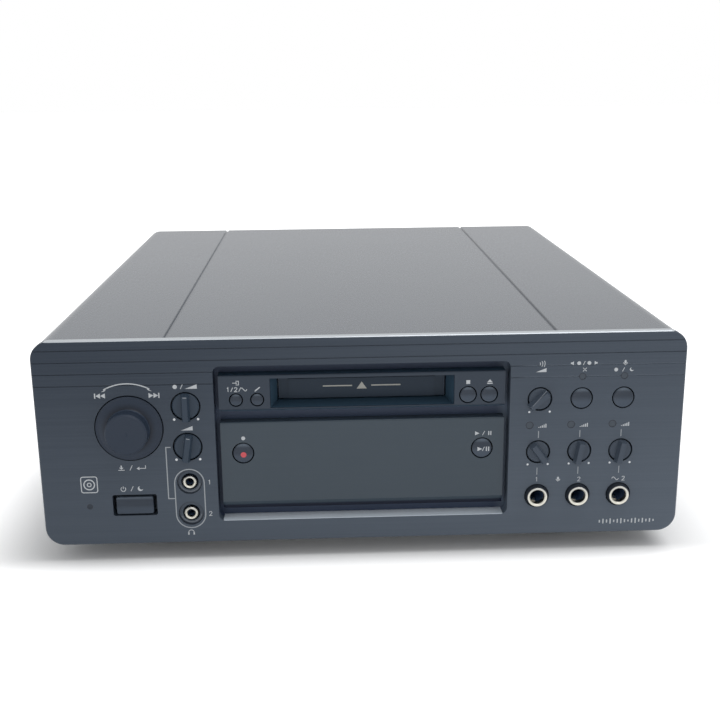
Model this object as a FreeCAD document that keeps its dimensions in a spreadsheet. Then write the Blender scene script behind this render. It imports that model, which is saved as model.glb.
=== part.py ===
import FreeCAD, Part
import math
import os
from types import SimpleNamespace

import Sketcher

# A compact minidisc deck: a sleeve cover over a tray, and a fascia with the loading slot, a smoked
# display window, a jog dial, level knobs, buttons and jacks.
# Every sub-part is drawn from the fascia: x to the right, y back from the fascia's front plane and
# z up from its bottom edge. Its Placement then sets it in the deck, whose origin lies on the floor
# under the middle of the whole deck.

V = FreeCAD.Vector
doc = FreeCAD.newDocument("minidisc_deck")


# ---------------------------------------------------------------- sizes

driving_sizes = {
    # fascia
    "side_field": 76.2,
    "panel_head": 12.0,
    "panel_thick": 4.2,
    "panel_corner": 8.0,
    "panel_edge": 0.5,
    "line_first": 4.0,
    "line_pitch": 5.17,
    "line_wide": 0.5,
    "line_deep": 0.3,
    # case
    "case_deep": 326.6,
    "cover_inset": 0.3,
    "cover_wall": 1.2,
    "cover_gap": 0.8,
    "cover_flange": 14.0,
    "seam_from_side": 56.2,
    "seam_wide": 2.0,
    "seam_deep": 0.8,
    "seam_spread": 0.4,
    "notch_room": 0.6,
    "cover_tab_wide": 12.0,
    "cover_tab_tall": 13.0,
    "tray_wall": 1.2,
    "tray_side_tall": 14.0,
    "tray_front_tall": 7.0,
    "tray_rear_tall": 9.4,
    "rear_inset": 1.8,
    "rear_wall": 1.2,
    "clear_gap": 0.3,
    "slide_gap": 0.1,
    # feet
    "foot_drop": 8.0,
    "foot_radius": 15.0,
    "foot_from_side": 54.0,
    "foot_front": 30.0,
    "foot_from_rear": 29.6,
    "pad_thick": 1.6,
    "pad_radius": 11.5,
    "screw_radius": 1.5,
    "screw_head_radius": 3.0,
    "screw_head_thick": 1.5,
    # moulded frame behind the fascia
    "frame_plate": 2.0,
    "frame_rim_wall": 2.0,
    "frame_rim_deep": 13.8,
    "front_board_gap": 7.8,
    "board_thick": 1.6,
    "boss_half": 2.0,
    # window and tub
    "key_field": 24.0,
    "window_low": 9.9,
    "lintel_gap": 4.5,
    "window_corner": 3.0,
    "tub_wall": 1.6,
    "tub_floor": 7.5,
    "tub_plate": 2.0,
    "view_above_low": 5.7,
    "view_below_high": 4.7,
    "view_margin": 1.0,
    # slot bar
    "block_gap": 2.0,
    "bar_gap": 4.8,
    "bar_tall": 16.5,
    "bar_front": 1.5,
    "bar_round": 2.5,
    "slot_side_flare": 2.9,
    "slot_sill": 1.5,
    "slot_lintel": 1.7,
    "throat_play": 0.9,
    "throat_rise": 1.3,
    "throat_fall": 0.4,
    "funnel_past_floor": 1.8,
    "throat_long": 4.1,
    "throat_side": 3.6,
    "throat_roof": 1.7,
    # flap
    "flap_side_gap": 0.5,
    "flap_thick": 1.4,
    "flap_low_gap": 0.6,
    "pivot_from_end": 2.2,
    "pivot_below_roof": 1.7,
    "barrel_radius": 1.3,
    "trunnion_radius": 1.0,
    "trunnion_long": 2.6,
    "flap_step_inset": 4.4,
    "flap_step": 0.5,
    "running_gap": 0.05,
    # display
    "sill_gap": 4.4,
    "display_tall": 40.4,
    "display_front": 2.0,
    "display_bevel_deep": 2.0,
    "display_bevel_tall": 3.7,
    "display_wall": 2.6,
    "tube_gap": 0.5,
    "tube_inset": 2.0,
    "tube_deep": 7.2,
    # jog dial
    "dial_from_window": 36.7,
    "dial_high": 53.7,
    "dial_radius": 14.3,
    "dial_ring_gap": 0.5,
    "dial_flare_radius": 13.2,
    "dial_boss_radius": 9.0,
    "dial_proud": 9.0,
    "dial_flare_rise": 2.4,
    "dial_travel": 0.8,
    "dial_shaft_radius": 3.0,
    "encoder_wide": 14.0,
    # level knobs
    "left_column_from_window": 12.1,
    "rec_above_phones": 18.3,
    "phones_high": 44.8,
    "left_knob_radius": 5.8,
    "right_knob_radius": 4.75,
    "knob_ring_gap": 0.65,
    "ridge_base": 3.6,
    "ridge_top": 2.2,
    "ridge_proud": 3.2,
    "ridge_overhang": 0.5,
    "stem_radius": 1.5,
    "rec_turn": 0.0,
    "phones_turn": 9.0,
    "echo_turn": 48.0,
    "mic_1_turn": -36.0,
    "mic_2_turn": 10.0,
    "line_2_turn": 10.5,
    # right-hand columns and rows
    "right_column_from_window": 13.0,
    "column_pitch": 18.2,
    "key_above_level": 24.2,
    "level_above_jack": 20.6,
    "jack_row": 18.3,
    "lamp_above_key": 9.8,
    "over_lamp_left": 4.1,
    "over_lamp_up": 12.3,
    "key_lamp_radius": 1.3,
    "over_lamp_radius": 1.45,
    "standby_lamp_radius": 1.0,
    "standby_from_dial": 19.3,
    "standby_high": 18.0,
    # buttons
    "round_key_radius": 4.4,
    "select_key_radius": 2.5,
    "stop_key_radius": 3.35,
    "transport_key_radius": 4.3,
    "key_gap": 0.55,
    "key_travel": 1.0,
    "key_collar": 1.1,
    "key_collar_thick": 0.8,
    "key_stem_radius": 1.4,
    "input_from_end": 7.4,
    "edit_from_end": 16.5,
    "stop_from_end": 16.1,
    "eject_from_end": 6.9,
    "select_above_bar": 5.5,
    "stop_above_bar": 5.8,
    "transport_from_end": 9.55,
    "tube_key_gap": 0.9,
    "transport_above_display": 26.3,
    "power_from_dial": 0.35,
    "power_high": 18.3,
    "power_wide": 15.9,
    "power_tall": 7.6,
    "power_slot_wide": 19.3,
    "power_slot_tall": 9.8,
    "power_travel": 1.5,
    "switch_wide": 6.0,
    "switch_deep": 3.0,
    "plunger_proud": 0.5,
    # jacks
    "jack_recess_radius": 5.5,
    "jack_ring_radius": 4.6,
    "jack_hole_radius": 3.2,
    "jack_front": -2.3,
    "jack_collar_radius": 5.15,
    "jack_deep": 27.2,
    "jack_body_wide": 14.0,
    "phones_dish_radius": 5.5,
    "phones_well_radius": 3.8,
    "phones_dish_deep": 1.0,
    "phones_ring_radius": 2.9,
    "phones_hole_radius": 1.8,
    "phones_jack_pitch": 14.6,
    "phones_jack_low": 13.8,
    "phones_jack_deep": 14.5,
    "phones_body_wide": 9.0,
    # rear sockets
    "socket_proud": 8.0,
    "rca_radius": 4.15,
    "rca_bore_radius": 1.65,
    "rca_pitch_across": 18.0,
    "rca_pitch_up": 16.0,
    "rca_from_board_end": 66.0,
    "rca_above_board": 14.4,
    "optical_wide": 10.0,
    "optical_tall": 10.4,
    "optical_from_rca": 44.0,
    "optical_pitch": 16.0,
    "inlet_from_side": 36.0,
    "inlet_high": 28.0,
    "inlet_wide": 21.0,
    "inlet_tall": 13.0,
    "inlet_deep": 14.0,
    # boards and transformer
    "main_board_high": 10.0,
    "board_from_core": 16.0,
    "board_from_deck": 19.0,
    "board_from_side": 14.0,
    "board_from_rear": 6.6,
    "post_radius": 3.0,
    "core_wide": 52.0,
    "core_tall": 44.0,
    "core_from_side": 40.0,
    "core_from_rear": 64.6,
    "coil_deep": 38.0,
    # disc mechanism
    "cartridge_wide": 72.0,
    "cartridge_deep": 68.0,
    "cartridge_thick": 5.0,
    "holder_gap": 0.6,
    "holder_wall": 0.8,
    "holder_above_throat": 1.3,
    "holder_behind_throat": 11.6,
    "cartridge_end_room": 2.0,
    "holder_lip": 8.0,
    "holder_stop_half": 8.0,
    "holder_travel": 4.0,
    "holder_pin_radius": 1.5,
    "deck_below_holder": 9.6,
    "deck_wall": 1.2,
    "deck_ledge": 10.8,
    "deck_set_back": 1.0,
    "seat_below_holder": 3.6,
    "spindle_seat_radius": 8.5,
    "spindle_shaft_radius": 1.0,
    "spindle_can_radius": 11.0,
    "spindle_can_tall": 7.0,
    "rod_radius": 1.5,
    "rod_below_deck": 5.0,
    "rod_apart": 24.0,
    "sled_wide": 14.0,
    "sled_across": 20.0,
    "sled_travel": 14.0,
    "sled_thick": 6.0,
    "lens_radius": 2.0,
    "lens_below_seat": 2.4,
    "lead_radius": 1.5,
    "bracket_deep": 60.0,
    "bracket_wall": 1.2,
    "bracket_foot": 8.0,
    # seats, walls and roundings
    "lamp_gap": 0.1,
    "lamp_set_back": 0.1,
    "left_board_margin": 6.0,
    "board_side_gap": 1.5,
    "board_low": 8.0,
    "board_from_top": 12.5,
    "board_margin": 12.0,
    "boss_inset": 4.0,
    "slot_boss_rise": 2.0,
    "shaft_room": 1.5,
    "view_corner": 2.0,
    "bar_top_round": 0.8,
    "display_tube_edge": 0.8,
    "display_board_margin": 2.8,
    "display_board_end": 1.8,
    "slot_board_gap": 2.0,
    "dial_wall": 1.5,
    "dial_nose_wall": 3.0,
    "dial_dish": 0.5,
    "dial_rim_edge": 0.7,
    "dial_flare_round": 1.8,
    "dial_flush": 0.3,
    "dial_hub_radius": 5.5,
    "rotor_wall": 2.2,
    "encoder_nose": 1.5,
    "encoder_wall": 1.2,
    "encoder_corner": 1.0,
    "knob_proud": 0.2,
    "knob_edge": 0.4,
    "knob_deep": 2.9,
    "ridge_round": 0.5,
    "pot_wide": 9.6,
    "key_edge": 0.4,
    "plunger_half": 1.7,
    "power_corner": 0.8,
    "power_proud": 0.4,
    "power_dish": 0.45,
    "power_hollow_radius": 16.0,
    "jack_edge": 0.4,
    "jack_end_wall": 2.0,
    "phones_jack_front": -0.3,
    "rear_screw_from_side": 20.0,
    "rear_screw_long": 6.0,
    "foot_screw_deep": 3.6,
    "pad_proud": 0.8,
    "foot_edge": 1.2,
    "post_inset": 8.0,
    "rca_face_margin": 7.0,
    "rca_face_proud": 0.8,
    "rca_step": 1.5,
    "rca_block_deep": 10.0,
    "rca_bore_deep": 8.0,
    "optical_proud": 1.5,
    "optical_rim": 1.2,
    "inlet_wall": 2.0,
    "inlet_well_deep": 11.0,
    "inlet_well_round": 3.0,
    "inlet_flange": 2.0,
    "inlet_flange_thick": 1.5,
    "inlet_pin_apart": 8.6,
    "inlet_pin_radius": 1.2,
    "inlet_pin_short": 3.0,
    "core_limb": 18.0,
    "core_stack": 22.0,
    "coil_round": 3.0,
    "holder_side_gap": 2.6,
    "pin_from_end": 10.0,
    "bracket_inset": 5.0,
    "lead_beyond": 7.0,
    "sled_end_gap": 0.4,
    "tab_wall": 1.5,
    "tab_half": 2.6,
    "turret_radius": 4.0,
    "lens_across": 17.0,
    "lens_proud": 0.6,
    "sled_round": 2.0,
    "sled_front_reach": 6.0,
    "sled_rear_reach": 3.0,
    "nut_half": 2.8,
    "lead_in_motor": 2.0,
    "sled_motor_long": 15.0,
    "spindle_can_wall": 0.8,
    "spindle_seat_thick": 3.0,
    "spindle_nose_radius": 2.0,
    "spindle_nose_tip": 1.0,
    "spindle_nose_tall": 1.2,
}


class Size:
    """A length, with its value now and the formula that ties it to the sheet."""

    def __init__(self, number, rule):
        self.number = float(number)
        self.rule = rule

    def __add__(self, other):
        return Size(self.number + number(other), f"({self.rule} + {rule(other)})")

    def __sub__(self, other):
        return Size(self.number - number(other), f"({self.rule} - {rule(other)})")

    def __mul__(self, other):
        return Size(self.number * number(other), f"({self.rule} * {rule(other)})")

    def __truediv__(self, other):
        return Size(self.number / number(other), f"({self.rule} / {rule(other)})")

    def __neg__(self):
        return Size(-self.number, f"(0 - {self.rule})")

    def __radd__(self, other):
        return Size(number(other) + self.number, f"({rule(other)} + {self.rule})")

    def __rsub__(self, other):
        return Size(number(other) - self.number, f"({rule(other)} - {self.rule})")

    __rmul__ = __mul__


def number(length):
    return length.number if isinstance(length, Size) else float(length)


def rule(length):
    return length.rule if isinstance(length, Size) else f"{float(length):.9g}"


sheet = doc.addObject("Spreadsheet::Sheet", "Sizes")
for row, (alias, amount) in enumerate(driving_sizes.items(), start=1):
    sheet.set(f"A{row}", alias)
    sheet.set(f"B{row}", str(amount))
    sheet.setAlias(f"B{row}", alias)
doc.recompute()
size = SimpleNamespace(**{alias: Size(amount, f"Sizes.{alias}") for alias, amount in driving_sizes.items()})


# ---------------------------------------------------------------- sizes that follow from others

# The cartridge sets the slot, the slot the window around it, and the window the fascia.
size.throat_wide = size.cartridge_wide + size.throat_play * 2
size.slot_wide = size.throat_wide + size.slot_side_flare * 2
size.flap_wide = size.throat_wide - size.flap_side_gap * 2
size.flap_step_wide = size.flap_wide - size.flap_step_inset * 2
size.window_wide = size.slot_wide + size.key_field * 2
size.bar_wide = size.window_wide - size.block_gap * 2
size.panel_wide = size.window_wide + size.side_field * 2
half_panel = size.panel_wide / 2
window_half = size.window_wide / 2
bar_half = size.bar_wide / 2

# Heights are stacked from the fascia's bottom edge: sill, display window, slot bar, lintel.
size.display_low = size.window_low + size.sill_gap
size.display_high = size.display_low + size.display_tall
size.bar_low = size.display_high + size.bar_gap
size.bar_high = size.bar_low + size.bar_tall
size.window_high = size.bar_high + size.lintel_gap
size.panel_tall = size.window_high + size.panel_head
size.slot_low = size.bar_low + size.slot_sill
size.slot_high = size.bar_high - size.slot_lintel
size.throat_low = size.slot_low + size.throat_rise
size.throat_high = size.slot_high - size.throat_fall
size.flap_low = size.throat_low + size.flap_low_gap
size.flap_pivot_high = size.throat_high - size.pivot_below_roof
size.view_low = size.display_low + size.view_above_low
size.view_high = size.display_high - size.view_below_high

# Depths are stacked from the fascia's front plane.
frame_front = size.panel_thick
frame_back = frame_front + size.frame_plate
behind_frame = frame_back + size.clear_gap
tub_back = size.tub_floor + size.tub_plate
size.front_board_back = frame_back + size.front_board_gap
size.throat_start = size.tub_floor + size.funnel_past_floor
size.throat_end = size.throat_start + size.throat_long
size.flap_pivot_back = size.throat_end - size.pivot_from_end
size.display_board_back = tub_back + size.tube_gap + size.tube_deep
size.holder_front = size.throat_end + size.holder_behind_throat
size.holder_deep = size.cartridge_deep + size.cartridge_end_room
size.deck_front = size.holder_front + size.deck_set_back
size.spindle_back = size.holder_front + size.holder_deep / 2
rear_back = size.case_deep - size.rear_inset
rear_front = rear_back - size.rear_wall

# The controls keep their distances from the window, and each row from the row below it.
size.dial_across = -window_half - size.dial_from_window
size.standby_across = size.dial_across - size.standby_from_dial
size.power_across = size.dial_across + size.power_from_dial
size.left_column = -window_half - size.left_column_from_window
size.right_column = window_half + size.right_column_from_window
size.level_row = size.jack_row + size.level_above_jack
size.key_row = size.level_row + size.key_above_level
size.lamp_row = size.key_row + size.lamp_above_key
size.rec_high = size.phones_high + size.rec_above_phones
size.phones_jack_high = size.phones_jack_low + size.phones_jack_pitch
size.input_across = size.input_from_end - bar_half
size.edit_across = size.edit_from_end - bar_half
size.stop_across = bar_half - size.stop_from_end
size.eject_across = bar_half - size.eject_from_end
size.select_high = size.bar_low + size.select_above_bar
size.stop_high = size.bar_low + size.stop_above_bar
size.transport_across = bar_half - size.transport_from_end
size.transport_high = size.display_low + size.transport_above_display
tube_half = size.transport_across - size.transport_key_radius - size.key_collar - size.tube_key_gap

# The mechanism is hung behind the slot, and the rest stands off the sides and the rear.
size.holder_low = size.throat_low + size.holder_above_throat
size.deck_plate_high = size.holder_low - size.deck_below_holder
size.spindle_seat_high = size.holder_low - size.seat_below_holder
size.lens_top = size.spindle_seat_high - size.lens_below_seat
size.rod_high = size.deck_plate_high - size.rod_below_deck
size.foot_across = half_panel - size.foot_from_side
size.foot_rear = size.case_deep - size.foot_from_rear
size.seam_across = half_panel - size.seam_from_side
size.rear_screw_across = half_panel - size.rear_screw_from_side
size.inlet_across = size.inlet_from_side - half_panel
size.core_across = size.core_from_side - half_panel
size.core_back = size.case_deep - size.core_from_rear
board_top = size.main_board_high + size.board_thick
main_board_start = size.core_across + size.core_wide / 2 + size.board_from_core
main_board_end = half_panel - size.board_from_side
main_board_front = size.deck_front + size.holder_deep + size.board_from_deck
main_board_rear = rear_front - size.board_from_rear
size.rca_first_across = main_board_end - size.rca_from_board_end
size.rca_low = board_top + size.rca_above_board
size.optical_first_across = size.rca_first_across - size.optical_from_rca


# ---------------------------------------------------------------- drawing helpers

nodes = []
cuts = []


def bind(thing, path, length):
    thing.setExpression(path, rule(length))


def put(thing, at, turn_axis=None, turn=0.0):
    """Places a helper shape inside its sub-part's own frame."""
    if turn_axis is not None:
        thing.Placement = FreeCAD.Placement(V(), FreeCAD.Rotation(V(*turn_axis), number(turn)))
    for letter, length in zip("xyz", at):
        bind(thing, f".Placement.Base.{letter}", length)
    return thing


# The fascia stands forward of the origin so that the whole deck, from the dial's nose to the rear
# sockets, is centred over it.
front_face = (size.dial_proud - size.socket_proud - size.case_deep) / 2


def node(thing, name, at=(0, 0, 0), turn_axis=None, turn=0.0):
    """Names a finished sub-part, sets it in the deck and keeps it for export."""
    thing.Label = name
    across, back, high = at
    put(thing, (across, front_face + back, size.foot_drop + high), turn_axis, turn)
    nodes.append((name, thing))
    return thing


def body(name):
    return doc.addObject("PartDesign::Body", name)


def sketch_on(owner, plane, offset=0):
    """A sketch on one of the body's own planes: XZ faces the front, XY faces up, YZ faces right."""
    sketch = owner.newObject("Sketcher::SketchObject", f"{owner.Name}_outline")
    origin_plane = next(f for f in owner.Origin.OriginFeatures if f.Role == f"{plane}_Plane")
    sketch.AttachmentSupport = [(origin_plane, "")]
    sketch.MapMode = "FlatFace"
    bind(sketch, ".AttachmentOffset.Base.z", -offset if plane == "XZ" else offset)
    return sketch


def fix_point(sketch, shape, end, across, up):
    for kind, length in (("DistanceX", across), ("DistanceY", up)):
        index = sketch.addConstraint(Sketcher.Constraint(kind, -1, 1, shape, end, number(length)))
        bind(sketch, f"Constraints[{index}]", length)


def add_circle(sketch, across, up, radius):
    centre = V(number(across), number(up), 0)
    circle = sketch.addGeometry(Part.Circle(centre, V(0, 0, 1), number(radius)), False)
    fix_point(sketch, circle, 3, across, up)
    index = sketch.addConstraint(Sketcher.Constraint("Radius", circle, number(radius)))
    bind(sketch, f"Constraints[{index}]", radius)


def add_outline(sketch, corners):
    """A closed outline through corners (across, up), or (across, up, radius) where one is rounded."""
    spots = [V(number(c[0]), number(c[1]), 0) for c in corners]
    count = len(corners)
    starts, ends, arcs = [], [], {}
    for i, corner in enumerate(corners):
        back = (spots[i - 1] - spots[i]).normalize()
        ahead = (spots[(i + 1) % count] - spots[i]).normalize()
        if len(corner) == 2:
            starts.append(spots[i])
            ends.append(spots[i])
            continue
        radius = number(corner[2])
        half = back.getAngle(ahead) / 2
        ends.append(spots[i] + back * (radius / math.tan(half)))
        starts.append(spots[i] + ahead * (radius / math.tan(half)))
        centre = spots[i] + (back + ahead).normalize() * (radius / math.sin(half))
        left_turn = back.cross(ahead).z < 0
        first, last = (ends[i], starts[i]) if left_turn else (starts[i], ends[i])
        angles = [math.atan2(p.y - centre.y, p.x - centre.x) for p in (first, last)]
        circle = Part.Circle(centre, V(0, 0, 1), radius)
        arcs[i] = (sketch.addGeometry(Part.ArcOfCircle(circle, *angles), False), left_turn)
    lines = []
    for i in range(count):
        lines.append(sketch.addGeometry(Part.LineSegment(starts[i], ends[(i + 1) % count]), False))
    for i, corner in enumerate(corners):
        before, after = lines[i - 1], lines[i]
        if i not in arcs:
            sketch.addConstraint(Sketcher.Constraint("Coincident", before, 2, after, 1))
            fix_point(sketch, after, 1, corner[0], corner[1])
            continue
        arc, left_turn = arcs[i]
        spot = sketch.addGeometry(Part.Point(spots[i]), True)
        fix_point(sketch, spot, 1, corner[0], corner[1])
        sketch.addConstraint(Sketcher.Constraint("PointOnObject", spot, 1, before))
        sketch.addConstraint(Sketcher.Constraint("PointOnObject", spot, 1, after))
        sketch.addConstraint(Sketcher.Constraint("Tangent", before, 2, arc, 1 if left_turn else 2))
        sketch.addConstraint(Sketcher.Constraint("Tangent", arc, 2 if left_turn else 1, after, 1))
        index = sketch.addConstraint(Sketcher.Constraint("Radius", arc, number(corner[2])))
        bind(sketch, f"Constraints[{index}]", corner[2])


def rectangle(low_across, high_across, low, high, radius=None):
    spots = [(low_across, low), (high_across, low), (high_across, high), (low_across, high)]
    return spots if radius is None else [(across, up, radius) for across, up in spots]


def pad(owner, sketch, length, reverse=False):
    feature = owner.newObject("PartDesign::Pad", f"{owner.Name}_pad")
    feature.Profile = sketch
    feature.Reversed = reverse
    bind(feature, "Length", length)
    owner.Tip = feature
    return feature


def pocket(owner, sketch, length, reverse=False):
    feature = owner.newObject("PartDesign::Pocket", f"{owner.Name}_pocket")
    feature.Profile = sketch
    feature.Reversed = reverse
    bind(feature, "Length", length)
    owner.Tip = feature
    cuts.append(feature)
    return feature


def slab(owner, corners, front, back, holes=()):
    """A plate facing the front, from one depth to another, with round holes through it."""
    sketch = sketch_on(owner, "XZ", front)
    add_outline(sketch, corners)
    for across, up, radius in holes:
        add_circle(sketch, across, up, radius)
    return pad(owner, sketch, back - front, reverse=True)


def slab_cut(owner, outlines, circles, front, back):
    """Cuts outlines and circles seen from the front, from one depth to another."""
    sketch = sketch_on(owner, "XZ", front)
    for corners in outlines:
        add_outline(sketch, corners)
    for across, up, radius in circles:
        add_circle(sketch, across, up, radius)
    return pocket(owner, sketch, back - front)


def bevelled(back, radius, edge):
    """Two corners of a turned profile that take the edge off a front rim."""
    return [(back, radius - edge), (back + edge, radius)]


def square(across, up, half):
    return rectangle(across - half, across + half, up - half, up + half)


def turned(name, profile, axis="y"):
    """A turned body. Its profile is (back, radius) points for y, or (radius, height) points for z."""
    owner = body(name)
    sketch = sketch_on(owner, "YZ" if axis == "y" else "XZ")
    add_outline(sketch, profile)
    feature = owner.newObject("PartDesign::Revolution", f"{name}_turn")
    feature.Profile = sketch
    feature.ReferenceAxis = (sketch, ["H_Axis" if axis == "y" else "V_Axis"])
    feature.Angle = 360
    owner.Tip = feature
    return owner


def side_profile(owner, profile, half_wide):
    """A bar along x, whose (back, up) profile is seen from the side."""
    sketch = sketch_on(owner, "YZ", -half_wide)
    add_outline(sketch, profile)
    return pad(owner, sketch, half_wide * 2)


def edges_where(shape, test):
    """The names of the edges whose bounding box passes a test."""
    return [f"Edge{i}" for i, edge in enumerate(shape.Edges, start=1) if test(edge.BoundBox)]


def flat_at(back):
    """A test for edges that lie wholly in one plane facing the front."""
    return lambda box: abs(box.YMin - number(back)) < 1e-4 and abs(box.YMax - number(back)) < 1e-4


def dress(owner, kind, amount, test):
    """A Fillet or Chamfer on the tip's edges that pass a test."""
    doc.recompute()
    base = owner.Tip
    feature = owner.newObject(f"PartDesign::{kind}", f"{owner.Name}_{kind.lower()}")
    feature.Base = (base, edges_where(base.Shape, test))
    bind(feature, "Radius" if kind == "Fillet" else "Size", amount)
    owner.Tip = feature
    return feature


def block(name, low, high):
    """A Part box between two corners."""
    thing = doc.addObject("Part::Box", name)
    for side, start, end in zip(("Length", "Width", "Height"), low, high):
        bind(thing, side, end - start)
    return put(thing, low)


turns = {"x": ((0, 1, 0), 90.0), "y": ((1, 0, 0), -90.0), "z": ((0, 0, 1), 0.0)}


def rod(name, axis, start, length, radius):
    """A Part cylinder along x, y or z from its starting point."""
    thing = doc.addObject("Part::Cylinder", name)
    bind(thing, "Radius", radius)
    bind(thing, "Height", length)
    return put(thing, start, *turns[axis])


def fuse(name, *shapes):
    thing = doc.addObject("Part::MultiFuse", name)
    thing.Shapes = list(shapes)
    thing.Refine = True
    return thing


def cut(name, base, *tools):
    thing = doc.addObject("Part::Cut", name)
    thing.Base = base
    thing.Tool = tools[0] if len(tools) == 1 else fuse(f"{name}_tools", *tools)
    cuts.append(thing)
    return thing


def group(name, shapes):
    thing = doc.addObject("Part::Compound", name)
    thing.Links = list(shapes)
    return thing


# ---------------------------------------------------------------- places that several sub-parts share

frame_inset = size.cover_inset + size.cover_wall + size.clear_gap
frame_half = half_panel - frame_inset
frame_low = frame_inset
frame_high = size.panel_tall - frame_inset
frame_corner = size.panel_corner - frame_inset

cover_front = size.panel_thick + size.cover_gap
cover_inner = size.cover_inset + size.cover_wall
tray_low = cover_inner + size.slide_gap
tray_top = tray_low + size.tray_wall
tray_front = frame_front + size.frame_rim_deep + size.clear_gap

# The cover's seams are pressed in, so what fits inside it is notched for them.
seam_notches = []
for side in (-1, 1):
    middle = size.seam_across * side
    reach = size.seam_wide / 2 + size.seam_spread + size.notch_room
    seam_notches.append([
        (middle - reach, frame_high - size.seam_deep - size.clear_gap),
        (middle + reach, frame_high - size.seam_deep - size.clear_gap),
        (middle + reach, size.panel_tall),
        (middle - reach, size.panel_tall),
    ])

tub_outer = window_half + size.tub_wall
tub_low = size.window_low - size.tub_wall
tub_high = size.window_high + size.tub_wall
flap_half = size.flap_wide / 2
display_board_half = bar_half - size.display_board_end
display_board_low = size.display_low - size.display_board_margin
display_board_high = size.display_high + size.display_board_margin
display_boss_across = display_board_half - size.boss_inset
slot_board_inner = size.throat_wide / 2 + size.throat_side + size.slot_board_gap

columns = [size.right_column + size.column_pitch * i for i in range(3)]

# name: (across, up, radius of the disc, pointer's turn at rest)
knobs = {
    "rec_level_knob": (size.left_column, size.rec_high, size.left_knob_radius, size.rec_turn),
    "phones_level_knob": (size.left_column, size.phones_high, size.left_knob_radius, size.phones_turn),
    "echo_level_knob": (columns[0], size.key_row, size.right_knob_radius, size.echo_turn),
    "mic_1_level_knob": (columns[0], size.level_row, size.right_knob_radius, size.mic_1_turn),
    "mic_2_level_knob": (columns[1], size.level_row, size.right_knob_radius, size.mic_2_turn),
    "line_2_level_knob": (columns[2], size.level_row, size.right_knob_radius, size.line_2_turn),
}

# name: (across, up, radius, front, back of the wall it goes through, front of its board)
panel_key = (-size.clear_gap, frame_back, size.front_board_back)
bar_key = (size.bar_front - size.clear_gap, tub_back, size.display_board_back)
window_key = (size.display_front - size.clear_gap, tub_back, size.display_board_back)
round_keys = {
    "center_cancel_button": (columns[1], size.key_row, size.round_key_radius, *panel_key),
    "mic_standby_button": (columns[2], size.key_row, size.round_key_radius, *panel_key),
    "input_selector_button": (size.input_across, size.select_high, size.select_key_radius, *bar_key),
    "edit_button": (size.edit_across, size.select_high, size.select_key_radius, *bar_key),
    "stop_button": (size.stop_across, size.stop_high, size.stop_key_radius, *bar_key),
    "eject_button": (size.eject_across, size.stop_high, size.stop_key_radius, *bar_key),
    "rec_button": (-size.transport_across, size.transport_high, size.transport_key_radius, *window_key),
    "play_pause_button": (size.transport_across, size.transport_high, size.transport_key_radius,
                          *window_key),
}
bar_keys = [key for name, key in round_keys.items() if key[4] is tub_back and key[3] is bar_key[0]]
window_keys = [round_keys["rec_button"], round_keys["play_pause_button"]]
panel_keys = [round_keys["center_cancel_button"], round_keys["mic_standby_button"]]

jack_spots = {
    "mic_1_jack": (columns[0], size.jack_row),
    "mic_2_jack": (columns[1], size.jack_row),
    "line_2_jack": (columns[2], size.jack_row),
}
phones_spots = {
    "phones_1_jack": (size.left_column, size.phones_jack_high),
    "phones_2_jack": (size.left_column, size.phones_jack_low),
}
lamps = [(column, size.lamp_row, size.key_lamp_radius) for column in columns[1:]]
for column in columns:
    lamps.append((column - size.over_lamp_left, size.level_row + size.over_lamp_up, size.over_lamp_radius))
lamps.append((size.standby_across, size.standby_high, size.standby_lamp_radius))

power_half_slot = size.power_slot_wide / 2
power_slot = rectangle(
    size.power_across - power_half_slot,
    size.power_across + power_half_slot,
    size.power_high - size.power_slot_tall / 2,
    size.power_high + size.power_slot_tall / 2,
    size.power_corner,
)


# ---------------------------------------------------------------- fascia

fascia = body("fascia_plate")
slab(fascia, rectangle(-half_panel, half_panel, 0, size.panel_tall, size.panel_corner), 0, size.panel_thick)
dress(fascia, "Chamfer", size.panel_edge, flat_at(0))
window = rectangle(-window_half, window_half, size.window_low, size.window_high, size.window_corner)
panel_holes = [(size.dial_across, size.dial_high, size.dial_radius + size.dial_ring_gap)]
panel_holes += [(across, up, radius + size.knob_ring_gap) for across, up, radius, _ in knobs.values()]
panel_holes += [(key[0], key[1], key[2] + size.key_gap) for key in panel_keys]
panel_holes += [(across, up, size.jack_recess_radius) for across, up in jack_spots.values()]
phones_hole = size.phones_ring_radius + size.clear_gap
panel_holes += [(across, up, size.phones_well_radius) for across, up in phones_spots.values()]
panel_holes += [(across, up, radius + size.lamp_gap) for across, up, radius in lamps]
slab_cut(fascia, [window, power_slot], panel_holes, 0, size.panel_thick)
rulings = sketch_on(fascia, "XZ")
line_top = size.panel_tall - size.line_first + size.line_wide / 2
line_end = half_panel - size.panel_edge
add_outline(rulings, rectangle(-line_end, line_end, line_top - size.line_wide, line_top))
ruling = pocket(fascia, rulings, size.line_deep)
fascia_lines = fascia.newObject("PartDesign::LinearPattern", "fascia_lines")
fascia_lines.Originals = [ruling]
fascia_lines.Direction = (rulings, ["V_Axis"])
fascia_lines.Reversed = True
line_count = 4
bind(fascia_lines, "Length", size.line_pitch * (line_count - 1))
fascia_lines.Occurrences = line_count
fascia.Tip = fascia_lines
dishes = []
for across, up in phones_spots.values():
    dish_front = (across, 0, up)
    dishes.append(rod("phones_dish", "y", dish_front, size.phones_dish_deep, size.phones_dish_radius))
node(cut("front_panel", fascia, *dishes), "front_panel")


# ---------------------------------------------------------------- moulded frame behind the fascia

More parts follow.
